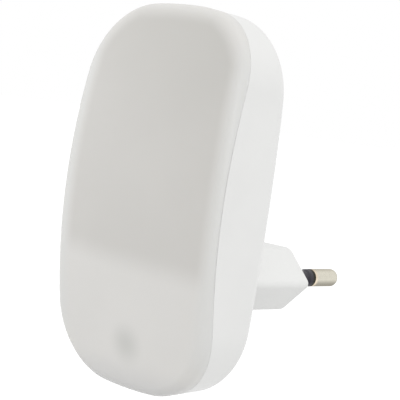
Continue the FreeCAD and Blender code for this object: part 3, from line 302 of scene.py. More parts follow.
class Form:
    """The lamp's outline and its front, as functions of a point's place round the outline."""

    def __init__(self, shape):
        for key in shape.__annotations__:
            scale = 1 if key == "draft" else 1 / MM
            setattr(self, key, getattr(shape, key) * scale)
        self.apex = self.casing_depth + self.cover_rise
        self.lean = math.tan(self.draft)
        side = self.side_radius - self.lamp_width / 2
        end = self.end_radius - self.lamp_height / 2
        self.corner_x, self.corner_z = self.corner_centre(side, end)
        low = math.atan2(self.corner_z, self.corner_x + side)
        high = math.atan2(self.corner_z + end, self.corner_x)
        x, z, turn = self.corner_x, self.corner_z, math.pi
        arcs = [
            ("side", (-side, 0), -low, low),
            ("corner", (x, z), low, high),
            ("end", (0, -end), high, turn - high),
            ("corner", (-x, z), turn - high, turn - low),
            ("side", (side, 0), turn - low, turn + low),
            ("corner", (-x, -z), turn + low, turn + high),
            ("end", (0, end), turn + high, 2 * turn - high),
            ("corner", (x, -z), 2 * turn - high, 2 * turn - low),
        ]
        radii = {"side": self.side_radius, "end": self.end_radius, "corner": self.corner_radius}
        angles = [np.linspace(a, b, ARC_STEPS[kind], endpoint=False) for kind, _, a, b in arcs]
        self.angle = np.concatenate(angles)
        self.centre = np.concatenate([np.tile(c, (ARC_STEPS[k], 1)) for k, c, _, _ in arcs])
        self.radius = np.concatenate([np.full(ARC_STEPS[k], radii[k]) for k, _, _, _ in arcs])

    def corner_centre(self, side, end):
        """Centre of the corner's arc, which touches the side's and the end's arcs inside:
        it is as far from their centres as their radii exceed its own."""
        side_reach = self.side_radius - self.corner_radius
        end_reach = self.end_radius - self.corner_radius
        apart = math.hypot(side, end)
        along = (side_reach**2 - end_reach**2 + apart**2) / (2 * apart)
        across = math.sqrt(side_reach**2 - along**2)
        toward = (side / apart, -end / apart)
        return max([(-side + along * toward[0] - k * across * toward[1],
                     along * toward[1] + k * across * toward[0]) for k in (-1, 1)], key=sum)

    def ring(self, offset, depth):
        """Points at an offset outside the outline: arc centre + (radius + offset) * normal."""
        reach = self.radius + offset
        x = self.centre[:, 0] + reach * np.cos(self.angle)
        z = self.centre[:, 1] + reach * np.sin(self.angle)
        return np.stack([x, np.broadcast_to(depth, x.shape), z], 1)

    def flare(self, depth):
        """How far the drafted side stands outside the parting outline at a depth."""
        return self.lean * (depth - self.casing_depth)

    def rim_depth(self, z, behind):
        """Depth of an arch that runs a distance behind the parting line."""
        radius = self.rim_radius - behind
        return self.casing_depth - behind - radius + np.sqrt(radius**2 - z**2)

    def rim_ring(self, inset, behind):
        """Ring where a wall at an inset meets an arch behind the parting line."""
        depth = np.full(self.radius.shape, self.casing_depth)
        for _ in range(SETTLE):
            ring = self.ring(self.flare(depth) - inset, depth)
            depth = self.rim_depth(ring[:, 2], behind)
        return ring

    def front(self, x, z, inset):
        """Depth and outward normal of the front, moved inwards by an inset.

        The front is an arc of the crown radius, turned about an axis across the lamp. Its
        distance from that axis is front radius - crown radius + sqrt(crown radius^2 - x^2).
        """
        crown = self.crown_radius - inset
        axis = self.apex - self.front_radius
        lift = np.sqrt(crown**2 - x**2)
        reach = self.front_radius - self.crown_radius + lift
        depth = axis + np.sqrt(reach**2 - z**2)
        normal = np.stack([x / crown, lift / crown * (depth - axis) / reach,
                           lift / crown * z / reach], -1)
        return depth, normal

    def front_edge(self, inset):
        """A ball of the edge's radius rolls between the front and the side, both moved
        inwards by an inset: its centre, its normals where it touches them, and its radius."""
        radius = self.front_round - inset
        depth = np.full(self.radius.shape, self.casing_depth)
        for _ in range(SETTLE):
            ring = self.ring(self.flare(depth) - inset - radius / math.cos(self.draft), depth)
            depth, front_normal = self.front(ring[:, 0], ring[:, 2], inset + radius)
        ring[:, 1] = depth
        side_normal = self.leaning(math.cos(self.draft), -math.sin(self.draft))
        return ring, front_normal, side_normal, radius

    def leaning(self, outward, forward):
        """Vectors of the same lean all round the outline: outward * normal, forward."""
        return np.stack([outward * np.cos(self.angle), np.full(self.angle.shape, forward),
                         outward * np.sin(self.angle)], 1)

    def profile(self, edge, distance):
        """Points at a distance from the front, down the rounded edge and the side: centre +
        radius * normal while the normal turns from the front's to the side's, by an angle of
        distance / radius, and then straight on down the drafted side."""
        centre, front_normal, side_normal, radius = edge
        arc = radius * np.arccos((front_normal * side_normal).sum(1))
        share = np.clip(distance / arc, 0, 1)[:, None]
        past = np.maximum(distance - arc, 0)[:, None]
        down = self.leaning(-math.sin(self.draft), -math.cos(self.draft))
        return centre + radius * slerp(front_normal, side_normal, share) + past * down

    def parting(self, edge, behind):
        """Distance down the profile where it meets an arch behind the parting line."""
        low, high = np.zeros(self.radius.shape), np.full(self.radius.shape, self.apex)
        for _ in range(HALVINGS):
            middle = (low + high) / 2
            point = self.profile(edge, middle)
            before = point[:, 1] > self.rim_depth(point[:, 2], behind)
            low, high = np.where(before, middle, low), np.where(before, high, middle)
        return middle

    def front_rings(self, edge, inset, shares):
        """Rings of the front between its middle and its edge, as shares of the edge ring."""
        rings = []
        for share in shares:
            x, z = edge[:, 0] * share, edge[:, 2] * share
            rings.append(np.stack([x, self.front(x, z, inset)[0], z], 1))
        return rings

    def snaps(self, name, radius, length):
        """Two rods along z that stand proud of the lip's sides, halfway down the lip."""
        x = self.lamp_width / 2 - self.lap_wall - self.lip_clearance - self.ridge_radius
        x += self.ridge_stand
        depth = self.casing_depth - self.lip_depth / 2
        specs = [(s * x, depth, radius, -length / 2, length / 2) for s in (-1, 1)]
        return rods(name, self, specs, axis=2)

    def place(self, points):
        """From lamp millimetres to the frame's metres."""
        return np.stack([points[:, 0], -(self.plug_reach + points[:, 1]),
                         self.centre_height + points[:, 2]], 1) * MM


def combine(item, other, operation):
    """Joins or cuts an object by another closed mesh, for good."""
    change = item.modifiers.new(operation.lower(), "BOOLEAN")
    change.operation = operation
    change.solver = "MANIFOLD"
    change.object = other
    made = bpy.data.meshes.new_from_object(
        item.evaluated_get(bpy.context.evaluated_depsgraph_get()))
    old = item.data
    item.modifiers.clear()
    item.data = made
    bpy.data.meshes.remove(old)
    bpy.data.objects.remove(other)


def rods(name, form, specs, axis=1):
    """One object of closed round rods along an axis, each given by the two places across the
    axis, its radius, and where it starts and ends."""
    points, quads, fans = [], [], []
    start, steps = 0, ROD_STEPS
    for first, second, radius, low, high in specs:
        centre = np.insert([first, second], axis, 0.0)
        ends = [np.insert([first, second], axis, end) for end in (low, high)]
        rings = lathe([(radius, low), (radius, high)], centre, steps, axis)
        points.append(np.concatenate(rings + [ends]))
        quads.append(start + ring_faces(2, steps, False))
        fans += [start + fan for fan in caps(steps, steps, 2 * steps, 2 * steps + 1)]
        start += len(points[-1])
    mesh = make_mesh(name, form.place(np.concatenate(points)), np.concatenate(quads), fans)
    return add_object(name, mesh)


def finish_piece(item, material, slot, *nodes):
    """Gives a new piece its material, its body and the solids that it redraws. The slot is
    not used.
    """
    item.data.materials.clear()
    item.data.materials.append(material)
    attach(item, ROOT)
    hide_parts(*nodes)


# Materials

class Tree:
    """A short way to write nodes."""

    def __init__(self, tree):
        self.tree = tree

    def join(self, value, socket):
        """Links another node's socket to a socket, or sets it to a constant."""
        if isinstance(value, bpy.types.NodeSocket):
            self.tree.links.new(value, socket)
        else:
            socket.default_value = value

    def add(self, kind, *values, output=0, settings=None, named=None):
        """Output of a new node, whose sockets take values in order or by name."""
        node = self.tree.nodes.new("ShaderNode" + kind)
        for key, setting in (settings or {}).items():
            setattr(node, key, setting)
        for socket, value in zip(node.inputs, values):
            if value is not None:
                self.join(value, socket)
        for key, value in (named or {}).items():
            self.join(value, node.inputs[key])
        return node.outputs[output]

    def math(self, operation, *values):
        return self.add("Math", *values, settings={"operation": operation})

    def away(self, value, middle):
        """How far a value is from a middle, to either side."""
        return self.math("ABSOLUTE", self.math("SUBTRACT", value, middle))

    def hypot(self, a, b):
        """sqrt(a^2 + b^2)"""
        square = self.math("MULTIPLY", b, b)
        return self.math("SQRT", self.math("MULTIPLY_ADD", a, a, square))

    def both(self, first, second):
        """1 where two masks are 1."""
        return self.math("MULTIPLY", first, second)

    def seen(self):
        """1 where the camera, a reflection or a refraction looks, 0 where light falls."""
        path = self.tree.nodes.new("ShaderNodeLightPath").outputs
        most = self.math("MAXIMUM", path["Is Camera Ray"], path["Is Glossy Ray"])
        return self.math("MAXIMUM", most, path["Is Transmission Ray"])


class Net(Tree):
    """The nodes of a material."""

    def __init__(self, name):
        self.material = bpy.data.materials.new(name)
        self.material.use_nodes = True
        super().__init__(self.material.node_tree)
        self.shader = self.tree.nodes["Principled BSDF"]

    def place(self, shift=(0, 0, 0)):
        """The point in the object's own space, as millimetres."""
        point = self.add("TexCoord", output="Object")
        return self.add("Mapping", point, shift, None, (1 / MM,) * 3)

    def axes(self, point):
        """The three coordinates of a point."""
        node = self.tree.nodes.new("ShaderNodeSeparateXYZ")
        self.join(point, node.inputs[0])
        return list(node.outputs)

    def noise(self, point, scale, detail=2.0, roughness=0.5):
        return self.add("TexNoise", named={"Vector": point, "Scale": scale, "Detail": detail,
                                           "Roughness": roughness})

    def ramp(self, value, low, high, bottom=0.0, top=1.0):
        """From bottom to top, smoothly, while a value goes from low to high."""
        return self.add("MapRange", value, low, high, bottom, top,
                        settings={"interpolation_type": "SMOOTHSTEP"})

    def mix(self, share, first, last):
        """A colour between two colours."""
        return self.add("Mix", output=2, settings={"data_type": "RGBA"},
                        named={0: share, 6: first, 7: last})

    def bump(self, height, strength, distance):
        """A normal from a height of up to a distance in millimetres."""
        return self.add("Bump", named={"Height": height, "Strength": strength,
                                       "Distance": distance * MM})

    def set(self, **sockets):
        """Sets sockets of the shader, named with _ for a space."""
        for key, value in sockets.items():
            self.join(value, self.shader.inputs[key.replace("_", " ")])
        return self.material


def rgba(value, share=1.0):
    """A colour, dimmed to a share of itself, with its opacity."""
    return tuple(channel * share for channel in value) + (1.0,)


class Patched(Net):
    """A plain finish, with other finishes laid over it wherever a mask is 1."""

    def __init__(self, name, value, roughness, drift=0.1):
        super().__init__(name)
        point = self.place()
        self.x, self.y, self.z = self.axes(point)
        slow, fine = self.noise(point, 0.25), self.noise(point, 3.0)
        self.tone = self.mix(self.ramp(slow, 0.3, 0.7), rgba(value, 1 - drift), rgba(value))
        self.gloss = self.ramp(fine, 0.25, 0.75, roughness - 0.05, roughness + 0.05)
        self.metal = 0.0

    def lay(self, mask, value, metal=False):
        """Lays a colour over the finish, as metal on request."""
        self.tone = self.mix(mask, self.tone, rgba(value))
        if metal:
            self.metal = self.math("MAXIMUM", self.metal, mask)

    def tin(self, value, limit):
        """Tinned metal wherever a value is past a limit."""
        self.lay(self.math("GREATER_THAN", value, limit), TINNED, metal=True)

    def done(self):
        """The finished material."""
        return self.set(Base_Color=self.tone, Roughness=self.gloss, Metallic=self.metal)


def moulded(name, value, roughness, grain=0.25, grain_depth=0.02, drift=0.025):
    """Moulded plastic: spark-eroded grain as bump, a slow drift of tone, uneven gloss."""
    net = Net(name)
    point = net.place()
    slow = net.noise(point, 0.07)
    fine = net.noise(point, 1 / grain, 3.0, 0.6)
    tone = net.mix(net.ramp(slow, 0.3, 0.7), rgba(value, 1 - drift), rgba(value))
    gloss = net.ramp(fine, 0.25, 0.75, roughness - 0.05, roughness + 0.05)
    return net.set(Base_Color=tone, Roughness=gloss, Normal=net.bump(fine, 0.35, grain_depth))


def milky(name, form, finish):
    """The milky cover: tone by what lies behind it, with painted light and shade.

    The gap to the outline is the least of three distances, to the side's, the end's and a
    corner's arc, which is rounder than the outline's own. Past the chamber's wall and above
    the platform's edge the cover is darker, as painted shade of the deep chamber behind it,
    and darker still towards the top and one side. The thick edge at the sides is lighter, as a
    painted glow of light through it, the lower end is darker, as painted shade, and over the
    sensor there is a soft spot.
    """
    net = Net(name)
    point = net.place((-SEEN_SHIFT[0], 0, -form.centre_height - SEEN_SHIFT[1]))
    x, _, z = net.axes(point)
    away_x, away_z = net.math("ABSOLUTE", x), net.math("ABSOLUTE", z)

    side_x = net.math("ADD", away_x, form.side_radius - form.lamp_width / 2)
    end_z = net.math("ADD", away_z, form.end_radius - form.lamp_height / 2)
    side_gap = net.math("SUBTRACT", form.side_radius, net.hypot(side_x, z))
    end_gap = net.math("SUBTRACT", form.end_radius, net.hypot(x, end_z))
    past_x = net.math("SUBTRACT", away_x, form.corner_x - ROUNDER)
    past_z = net.math("SUBTRACT", away_z, form.corner_z - ROUNDER)
    corner_gap = net.math("SUBTRACT", form.corner_radius + ROUNDER, net.hypot(past_x, past_z))
    in_corner = net.both(net.math("GREATER_THAN", past_x, 0.0),
                         net.math("GREATER_THAN", past_z, 0.0))
    far = net.math("MULTIPLY", net.math("SUBTRACT", 1.0, in_corner), form.lamp_height)
    gap = net.math("MINIMUM", net.math("MINIMUM", side_gap, end_gap),
                   net.math("ADD", net.math("ADD", corner_gap, CORNER_EASE), far))

    above = net.ramp(net.math("MULTIPLY_ADD", x, STEP_SLOPE, z), *STEP_HEIGHTS)
    # Painted shade: the deep chamber seen darker through the cover.
    recess_shade = net.both(net.ramp(gap, *WALL_GAPS), above)
    dim = net.ramp(net.math("MULTIPLY_ADD", x, DIM_SLOPE, z), *DIM_HEIGHTS)
    spot = net.hypot(net.math("SUBTRACT", x, SPOT_PLACE[0]),
                     net.math("SUBTRACT", z, SPOT_PLACE[1]))

    # Painted shade of the chamber, deeper towards the top and one side.
    chamber = net.mix(dim, rgba(finish.recess_shade), rgba(finish.recess_deep_shade))
    # Painted glow of light through the thick edge at the sides.
    tone = net.mix(net.ramp(side_gap, *EDGE_GAPS), rgba(finish.cover), rgba(finish.cover_edge_glow))
    # Painted shade at the cover's lower end.
    tone = net.mix(net.ramp(z, *FOOT_HEIGHTS), tone, rgba(finish.cover_foot_shade))
    tone = net.mix(recess_shade, tone, chamber)
    tone = net.mix(net.ramp(spot, *SPOT_RADII), tone, rgba(finish.sensor_spot))
    drift = net.ramp(net.noise(point, 0.045), 0.35, 0.7, 0.99, 1.01)
    tone = net.add("HueSaturation", named={"Value": drift, "Color": tone})
    fine = net.noise(point, 5.0)
    return net.set(Base_Color=tone, Roughness=net.ramp(fine, 0.3, 0.7, 0.36, 0.46),
                   Subsurface_Weight=0.2, Subsurface_Radius=(1.0, 1.0, 0.9),
                   Subsurface_Scale=1.2 * MM, Normal=net.bump(fine, 0.25, 0.012))


def plated(name, value):
    """Nickel plate: fine turned lines round the pin, faint marks, painted shade underneath, and
    brighter and warmer beside the sleeve."""
    net = Net(name)
    point = net.place()
    _, y, z = net.axes(point)
    turned = net.noise(net.add("Mapping", point, None, None, (0.6, 14.0, 0.6)), 1.0)
    marks = net.noise(point, 0.9, 3.0)
    tone = net.mix(net.ramp(marks, 0.35, 0.7), rgba(value), rgba(value, 0.96))
    underside_shade, root = net.ramp(z, 0.5, -1.3), net.ramp(y, 11.2, 10.2)
    # Painted shade on the pin's underside.
    tone = net.mix(underside_shade, tone, rgba(value, 0.5))
    tone = net.mix(root, tone, rgba((0.82, 0.71, 0.56)))
    return net.set(Base_Color=tone, Metallic=1.0, Specular_Tint=(0.55, 0.53, 0.5, 1.0),
                   Roughness=net.ramp(turned, 0.3, 0.7, 0.26, 0.34),
                   Normal=net.bump(turned, 0.06, 0.006))


def steel(name):
    """Zinc plated screws: dull metal with a mottled passivated layer."""
    net = Net(name)
    point = net.place()
    mottle = net.noise(point, 1.6, 3.0)
    tone = net.mix(net.ramp(mottle, 0.35, 0.65), rgba((0.50, 0.51, 0.53)),
                   rgba((0.62, 0.61, 0.56)))
    return net.set(Base_Color=tone, Metallic=1.0,
                   Roughness=net.ramp(mottle, 0.3, 0.7, 0.3, 0.45))


# Operators

class Piece:
    """What the operators of the night light share."""

    bl_options = {"REGISTER", "UNDO"}

    def execute(self, context):
        scene = context.scene
        self.build(Form(scene.night_light_shape), scene.night_light_finish)
        return {"FINISHED"}

    def dress(self, material, *names):
        """Gives solids of the frame a material."""
        for name in names:
            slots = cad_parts[name].data.materials
            slots.clear()
            slots.append(material)


class NIGHTLIGHT_OT_cover(Piece, bpy.types.Operator):
    """Build the milky cover with its lip and its two snap ridges"""

    bl_idname = "nightlight.cover"
    bl_label = "Cover"

    SIDE_STOP = 0.3    # how far before the parting line the side's last ring lies
    INNER_REACH = 1.3  # how far the inner face runs down its edge, to where the lip begins
    LIP_ROUND = 0.2    # round of the edges at the lip's end
    SHARES = 1 - (1 - np.linspace(0, 1, 26)[1:-1]) ** 1.4  # rings close up towards the edge

    def build(self, form, finish):
        wall = form.wall
        lip = form.lap_wall + form.lip_clearance
        edge, inner_edge = form.front_edge(0), form.front_edge(wall)
        end = form.parting(edge, 0)
        side = end - self.SIDE_STOP
        outer = [form.profile(edge, side * k) for k in np.linspace(0, 1, 18)]
        inner = [form.profile(inner_edge, self.INNER_REACH * k) for k in np.linspace(0, 1, 6)]
        parting = form.profile(edge, end)
        root = form.rim_ring(lip, 0)
        lip_outer = form.rim_ring(lip, form.lip_depth)
        lip_inner = form.rim_ring(wall, form.lip_depth)
        rings = form.front_rings(outer[0], 0, self.SHARES) + outer
        rings += rounded(outer[-1], parting, root, form.edge_round)
        rings += [root]
        rings += rounded(root, lip_outer, lip_inner, self.LIP_ROUND)
        rings += rounded(lip_outer, lip_inner, inner[-1], self.LIP_ROUND)
        rings += inner[::-1] + form.front_rings(inner[0], wall, self.SHARES)[::-1]
        poles = [(0, form.apex, 0), (0, form.apex - wall, 0)]
        item = add_object("diffuser", rings_to_mesh("diffuser", rings, form.place, poles))
        combine(item, form.snaps("ridges", form.ridge_radius, form.ridge_length), "UNION")
        finish_piece(item, milky("milky cover", form, finish), "milky_cover", "diffuser_cover")


class NIGHTLIGHT_OT_casing(Piece, bpy.types.Operator):
    """Build the casing with its rim, its opening for the plug and its posts"""

    bl_idname = "nightlight.casing"
    bl_label = "Casing"

    # x and z of the middle, radius, top, and the pilot hole's radius and floor, in millimetres
    POSTS = [
        (15.5, -7.0, 2.4, 4.6, 1.15, 1.35), (15.5, -23.0, 2.4, 4.6, 1.15, 1.35),
        (16.0, -0.7, 2.2, 3.2, 1.15, 1.15), (16.0, 23.0, 2.2, 3.2, 1.15, 1.15),
        (11.0, 29.5, 2.4, 6.4, 1.15, 2.95), (12.6, -31.8, 2.5, 6.4, None, None),
    ]
    PEG = (12.6, -31.8, 1.0, 8.8)
    OPENING = (17.7, 10.7, 7.0, 0.15)  # half width, half flat, half thickness and clearance
    BACK_ROUND, FRONT_ROUND = 0.25, 0.2  # rounds of the opening's two edges
    RIM_ROUND = 0.15                   # round of the rim's inner edge
    SIDE = np.linspace(0.3, 3.0, 10)   # how far past the rim the side's rings lie

    def opening(self, form, ring):
        """The six-sided opening, with as many points as the ring round it. A corner takes the
        point of the ring that lies nearest in direction, and a side's points are even."""
        half, flat, thick, clearance = self.OPENING
        slant = math.hypot(half - flat, thick)
        side = half + clearance * slant / thick
        top = thick + clearance
        corner = side - (half - flat) * top / thick
        z0 = -form.centre_height
        corners = np.array([(side, 0), (corner, top), (-corner, top),
                            (-side, 0), (-corner, -top), (corner, -top)])
        direction = np.unwrap(np.arctan2(ring[:, 2] - z0, ring[:, 0]))
        want = np.unwrap(np.arctan2(corners[:, 1], corners[:, 0]))
        turns = np.round((direction.mean() - want.mean()) / (2 * math.pi)) * 2 * math.pi
        count = len(ring)
        apart = [(direction - w - turns + math.pi) % (2 * math.pi) - math.pi for w in want]
        index = [int(np.abs(angles).argmin()) for angles in apart]
        points = np.zeros((count, 2))
        for k in range(6):
            start, stop = index[k], index[(k + 1) % 6]
            steps = (stop - start) % count
            share = np.arange(steps)[:, None] / steps
            points[(start + np.arange(steps)) % count] = (
                corners[k] * (1 - share) + corners[(k + 1) % 6] * share)
        return points + (0, z0)

    def build(self, form, finish):
        gap = form.parting_gap
        behind = form.lip_depth + form.lip_end_gap
        edge = form.front_edge(0)
        start = form.parting(edge, gap)
        rim = form.profile(edge, start)
        side = [form.profile(edge, start + k) for k in self.SIDE]
        back = form.ring(form.flare(0.0), 0.0)
        hole = self.opening(form, back)
        hole_back = np.stack([hole[:, 0], np.zeros(len(hole)), hole[:, 1]], 1)
        hole_front = hole_back + (0, form.back_wall, 0)
        inner_back = form.ring(form.flare(form.back_wall) - form.wall, form.back_wall)
        floor_inner = form.rim_ring(form.wall, behind)
        floor_outer = form.rim_ring(form.lap_wall, behind)
        rim_inner = form.rim_ring(form.lap_wall, gap)
        turn = rounded(side[-1], back, hole_back, form.back_round, 10)
        rings = rounded(rim_inner, rim, side[0], form.edge_round) + side + turn
        rings += [turn[-1] * (1 - k) + hole_back * k for k in (0.2, 0.45, 0.7)]
        rings += rounded(back, hole_back, hole_front, self.BACK_ROUND)
        rings += rounded(hole_back, hole_front, inner_back, self.FRONT_ROUND)
        rings += [hole_front * (1 - k) + inner_back * k for k in (0.3, 0.6)]
        rings += rounded(hole_front, inner_back, floor_inner, form.back_round - form.wall)
        rings += [floor_inner, floor_outer]
        rings += rounded(floor_outer, rim_inner, rim, self.RIM_ROUND)
        item = add_object("casing", rings_to_mesh("casing", rings, form.place, closed=True))

        posts, pilots = [], []
        foot = form.back_wall / 2
        for x, z, radius, top, pilot, low in self.POSTS:
            for sign in (-1, 1):
                posts.append((sign * x, z, radius, foot, top))
                if pilot:
                    pilots.append((sign * x, z, pilot, low, top + 1))
        x, z, radius, top = self.PEG
        pegs = [(sign * x, z, radius, foot, top) for sign in (-1, 1)]
        combine(item, rods("posts", form, posts), "UNION")
        combine(item, rods("pegs", form, pegs), "UNION")
        combine(item, rods("pilots", form, pilots), "DIFFERENCE")
        combine(item, form.snaps("grooves", form.ridge_radius + form.ridge_clearance,
                                 form.ridge_length + 2 * form.ridge_clearance), "DIFFERENCE")
        item.data.shade_smooth()
        item.data.set_sharp_from_angle(angle=SMOOTH_ANGLE)
        material = moulded("casing white", finish.casing, 0.36, grain=0.5, grain_depth=0.012)
        finish_piece(item, material, "white_casing", "rear_casing")


class NIGHTLIGHT_OT_plug(Piece, bpy.types.Operator):
    """Finish the plug block, its pins and their sleeves"""

    bl_idname = "nightlight.plug"
    bl_label = "Plug"

    def build(self, form, finish):
        self.dress(moulded("plug white", finish.plug, 0.5, grain=0.3, grain_depth=0.02),
                   "plug_body")
        self.dress(plated("nickel plate", finish.pin), "left_pin", "right_pin")
        sleeve = Patched("sleeve", finish.sleeve, 0.5)
        sleeve.set(Specular_IOR_Level=0.25)
        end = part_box("right_pin_sleeve")[1][1] / MM
        underside_shade = sleeve.ramp(sleeve.z, 1.6, -1.2)
        sleeve_end_shade = sleeve.ramp(sleeve.y, end - 1.0, end - 0.6)
        # Painted shade on the sleeve's underside.
        sleeve.lay(underside_shade, (0.014, 0.011, 0.020))
        # Painted shade of the gap at the sleeve's end.
        sleeve.lay(sleeve_end_shade, (0.012, 0.010, 0.002))
        self.dress(sleeve.done(), "left_pin_sleeve", "right_pin_sleeve")


class NIGHTLIGHT_OT_inside(Piece, bpy.types.Operator):
    """Finish the tray, the rubber shroud, the wires and the screws"""

    bl_idname = "nightlight.inside"
    bl_label = "Inside"

    WIRES = [
        ("brown insulation", (0.10, 0.04, 0.018), ["live_wire"]),
        ("blue insulation", (0.02, 0.08, 0.36), ["neutral_wire"]),
        ("red insulation", (0.45, 0.015, 0.012), ["led_positive_wire"]),
        ("black insulation", (0.018, 0.018, 0.018), ["led_negative_wire"]),
        ("white insulation", (0.78, 0.78, 0.77), ["sensor_wire_left", "sensor_wire_right"]),
    ]

    def build(self, form, finish):
        self.dress(moulded("tray white", (0.80, 0.80, 0.785), 0.55, grain=0.4),
                   "reflector_tray")
        self.dress(moulded("shroud rubber", (0.02, 0.02, 0.021), 0.7, drift=0.3),
                   "sensor_shroud")
        for name, value, wires in self.WIRES:
            self.dress(moulded(name, value, 0.42, drift=0.1), *wires)
        self.dress(steel("zinc plate"), "plug_screws", "main_board_screws", "tray_screws",
                   "led_board_screws")


class NIGHTLIGHT_OT_circuit(Piece, bpy.types.Operator):
    """Finish the two boards, the parts on them and the light sensor"""

    bl_idname = "nightlight.circuit"
    bl_label = "Circuit"

    def middle(self, *names):
        """Middle of the box round some nodes, in millimetres."""
        corners = np.concatenate([np.array(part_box(name)) for name in names])
        return (corners.min(0) + corners.max(0)) / 2 / MM

    def resistor(self, name):
        """A barrel along x with four painted rings and tinned ends."""
        net = Patched("resistor lacquer", (0.16, 0.30, 0.42), 0.42)
        along = net.math("SUBTRACT", net.x, self.middle(name)[0])
        for place, value in ((-2.7, RED), (-1.4, BLACK), (-0.1, BROWN), (2.7, GOLD)):
            net.lay(net.math("COMPARE", along, place, 0.36), value)
        net.tin(net.math("ABSOLUTE", along), 4.51)
        self.dress(net.done(), name)

    def diode(self, name):
        """A glass bead along x with a dark ring and tinned ends."""
        net = Patched("tinted glass", (0.45, 0.09, 0.03), 0.12)
        along = net.math("SUBTRACT", net.x, self.middle(name)[0])
        net.lay(net.math("COMPARE", along, 1.2, 0.3), BLACK)
        net.tin(net.math("ABSOLUTE", along), 2.01)
        self.dress(net.done(), name)

    def electrolytic(self, name):
        """A can lying along x: sleeve with a pale stripe, bare end, bung and two leads."""
        (_, front, low), (end, _, high) = np.array(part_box(name)) / MM
        radius, length = (high - low) / 2, 11.0
        net = Patched("shrink film", (0.012, 0.016, 0.04), 0.25)
        up = net.math("SUBTRACT", net.z, (low + high) / 2)
        net.lay(net.math("GREATER_THAN", up, radius * 0.72), (0.42, 0.43, 0.46))
        across = net.math("SUBTRACT", net.y, front + radius)
        core = net.math("LESS_THAN", net.hypot(up, across), radius * 0.8)
        bare = net.both(core, net.math("GREATER_THAN", net.x, end - 0.05))
        net.lay(bare, (0.66, 0.67, 0.68), metal=True)
        net.lay(net.math("LESS_THAN", net.x, end - length + 0.05), (0.02, 0.02, 0.02))
        net.tin(net.math("SUBTRACT", end - length, net.x), 0.02)
        self.dress(net.done(), name)

    def legged(self, name, label, half):
        """A black case whose legs leave it past half its height."""
        net = Patched(label, (0.02, 0.02, 0.021), 0.5, drift=0.3)
        net.tin(net.away(net.z, self.middle(name)[2]), half)
        self.dress(net.done(), name)

    def chips(self, *names):
        """Black resistors with tinned ends, every 4 mm along x."""
        net = Patched("resistor glaze", (0.015, 0.015, 0.016), 0.3)
        along = net.math("WRAP", net.math("SUBTRACT", net.x, self.middle(*names)[0]), 4.0, 0.0)
        net.tin(net.away(along, 2.0), 1.2)
        self.dress(net.done(), *names)

    def leds(self, *names):
        """White housings every 5.6 mm along x, each with a round cup of yellow phosphor."""
        net = Patched("led housing", (0.80, 0.80, 0.77), 0.45, drift=0.03)
        place = self.middle(*names)
        along = net.math("WRAP", net.math("SUBTRACT", net.x, place[0]), 5.6, 0.0)
        reach = net.hypot(net.away(along, 2.8), net.math("SUBTRACT", net.z, place[2]))
        front = net.math("LESS_THAN", net.y, place[1] + 0.1)
        net.lay(net.both(front, net.math("LESS_THAN", reach, 1.13)), (0.80, 0.60, 0.10))
        self.dress(net.done(), *names)

    def sensor(self, name):
        """A ceramic disc with a resistive track between two plated combs, and two leads."""
        (_, front, _), (_, back, _) = np.array(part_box(name)) / MM
        net = Patched("sensor ceramic", (0.66, 0.58, 0.44), 0.4, drift=0.05)
        up = net.math("SUBTRACT", net.z, self.middle(name)[2])
        face = net.both(net.math("LESS_THAN", net.hypot(net.x, up), 2.05),
                        net.math("LESS_THAN", net.y, front + 0.02))
        net.lay(face, (0.55, 0.53, 0.48), metal=True)
        wave = net.math("MULTIPLY", net.math("SINE", net.math("MULTIPLY", net.x, 9.0)), 0.12)
        rows = net.math("WRAP", net.math("ADD", up, wave), 0.8, 0.0)
        track = net.both(face, net.math("COMPARE", rows, 0.4, 0.2))
        net.lay(track, (0.40, 0.08, 0.03))
        net.metal = net.math("SUBTRACT", net.metal, track)
        net.tin(net.y, back - 1.39)
        self.dress(net.done(), name)

    def build(self, form, finish):
        self.dress(moulded("laminate", (0.035, 0.16, 0.06), 0.35, drift=0.2), "main_board")
        self.dress(moulded("white laminate", (0.75, 0.75, 0.72), 0.4), "led_board")
        case = Patched("film case", (0.62, 0.33, 0.03), 0.35)
        case.tin(case.y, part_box("film_capacitor")[1][1] / MM - 2.0)
        self.dress(case.done(), "film_capacitor")
        self.resistor("fusible_resistor")
        self.diode("zener_diode")
        self.electrolytic("electrolytic_capacitor")
        self.legged("rectifier_bridge", "bridge epoxy", 2.01)
        self.legged("switching_transistor", "transistor epoxy", 0.71)
        self.chips(*["chip_resistor_%d" % k for k in (1, 2, 3, 4)])
        self.leds(*["led_%d" % k for k in (1, 2, 3, 4)])
        self.sensor("light_sensor")


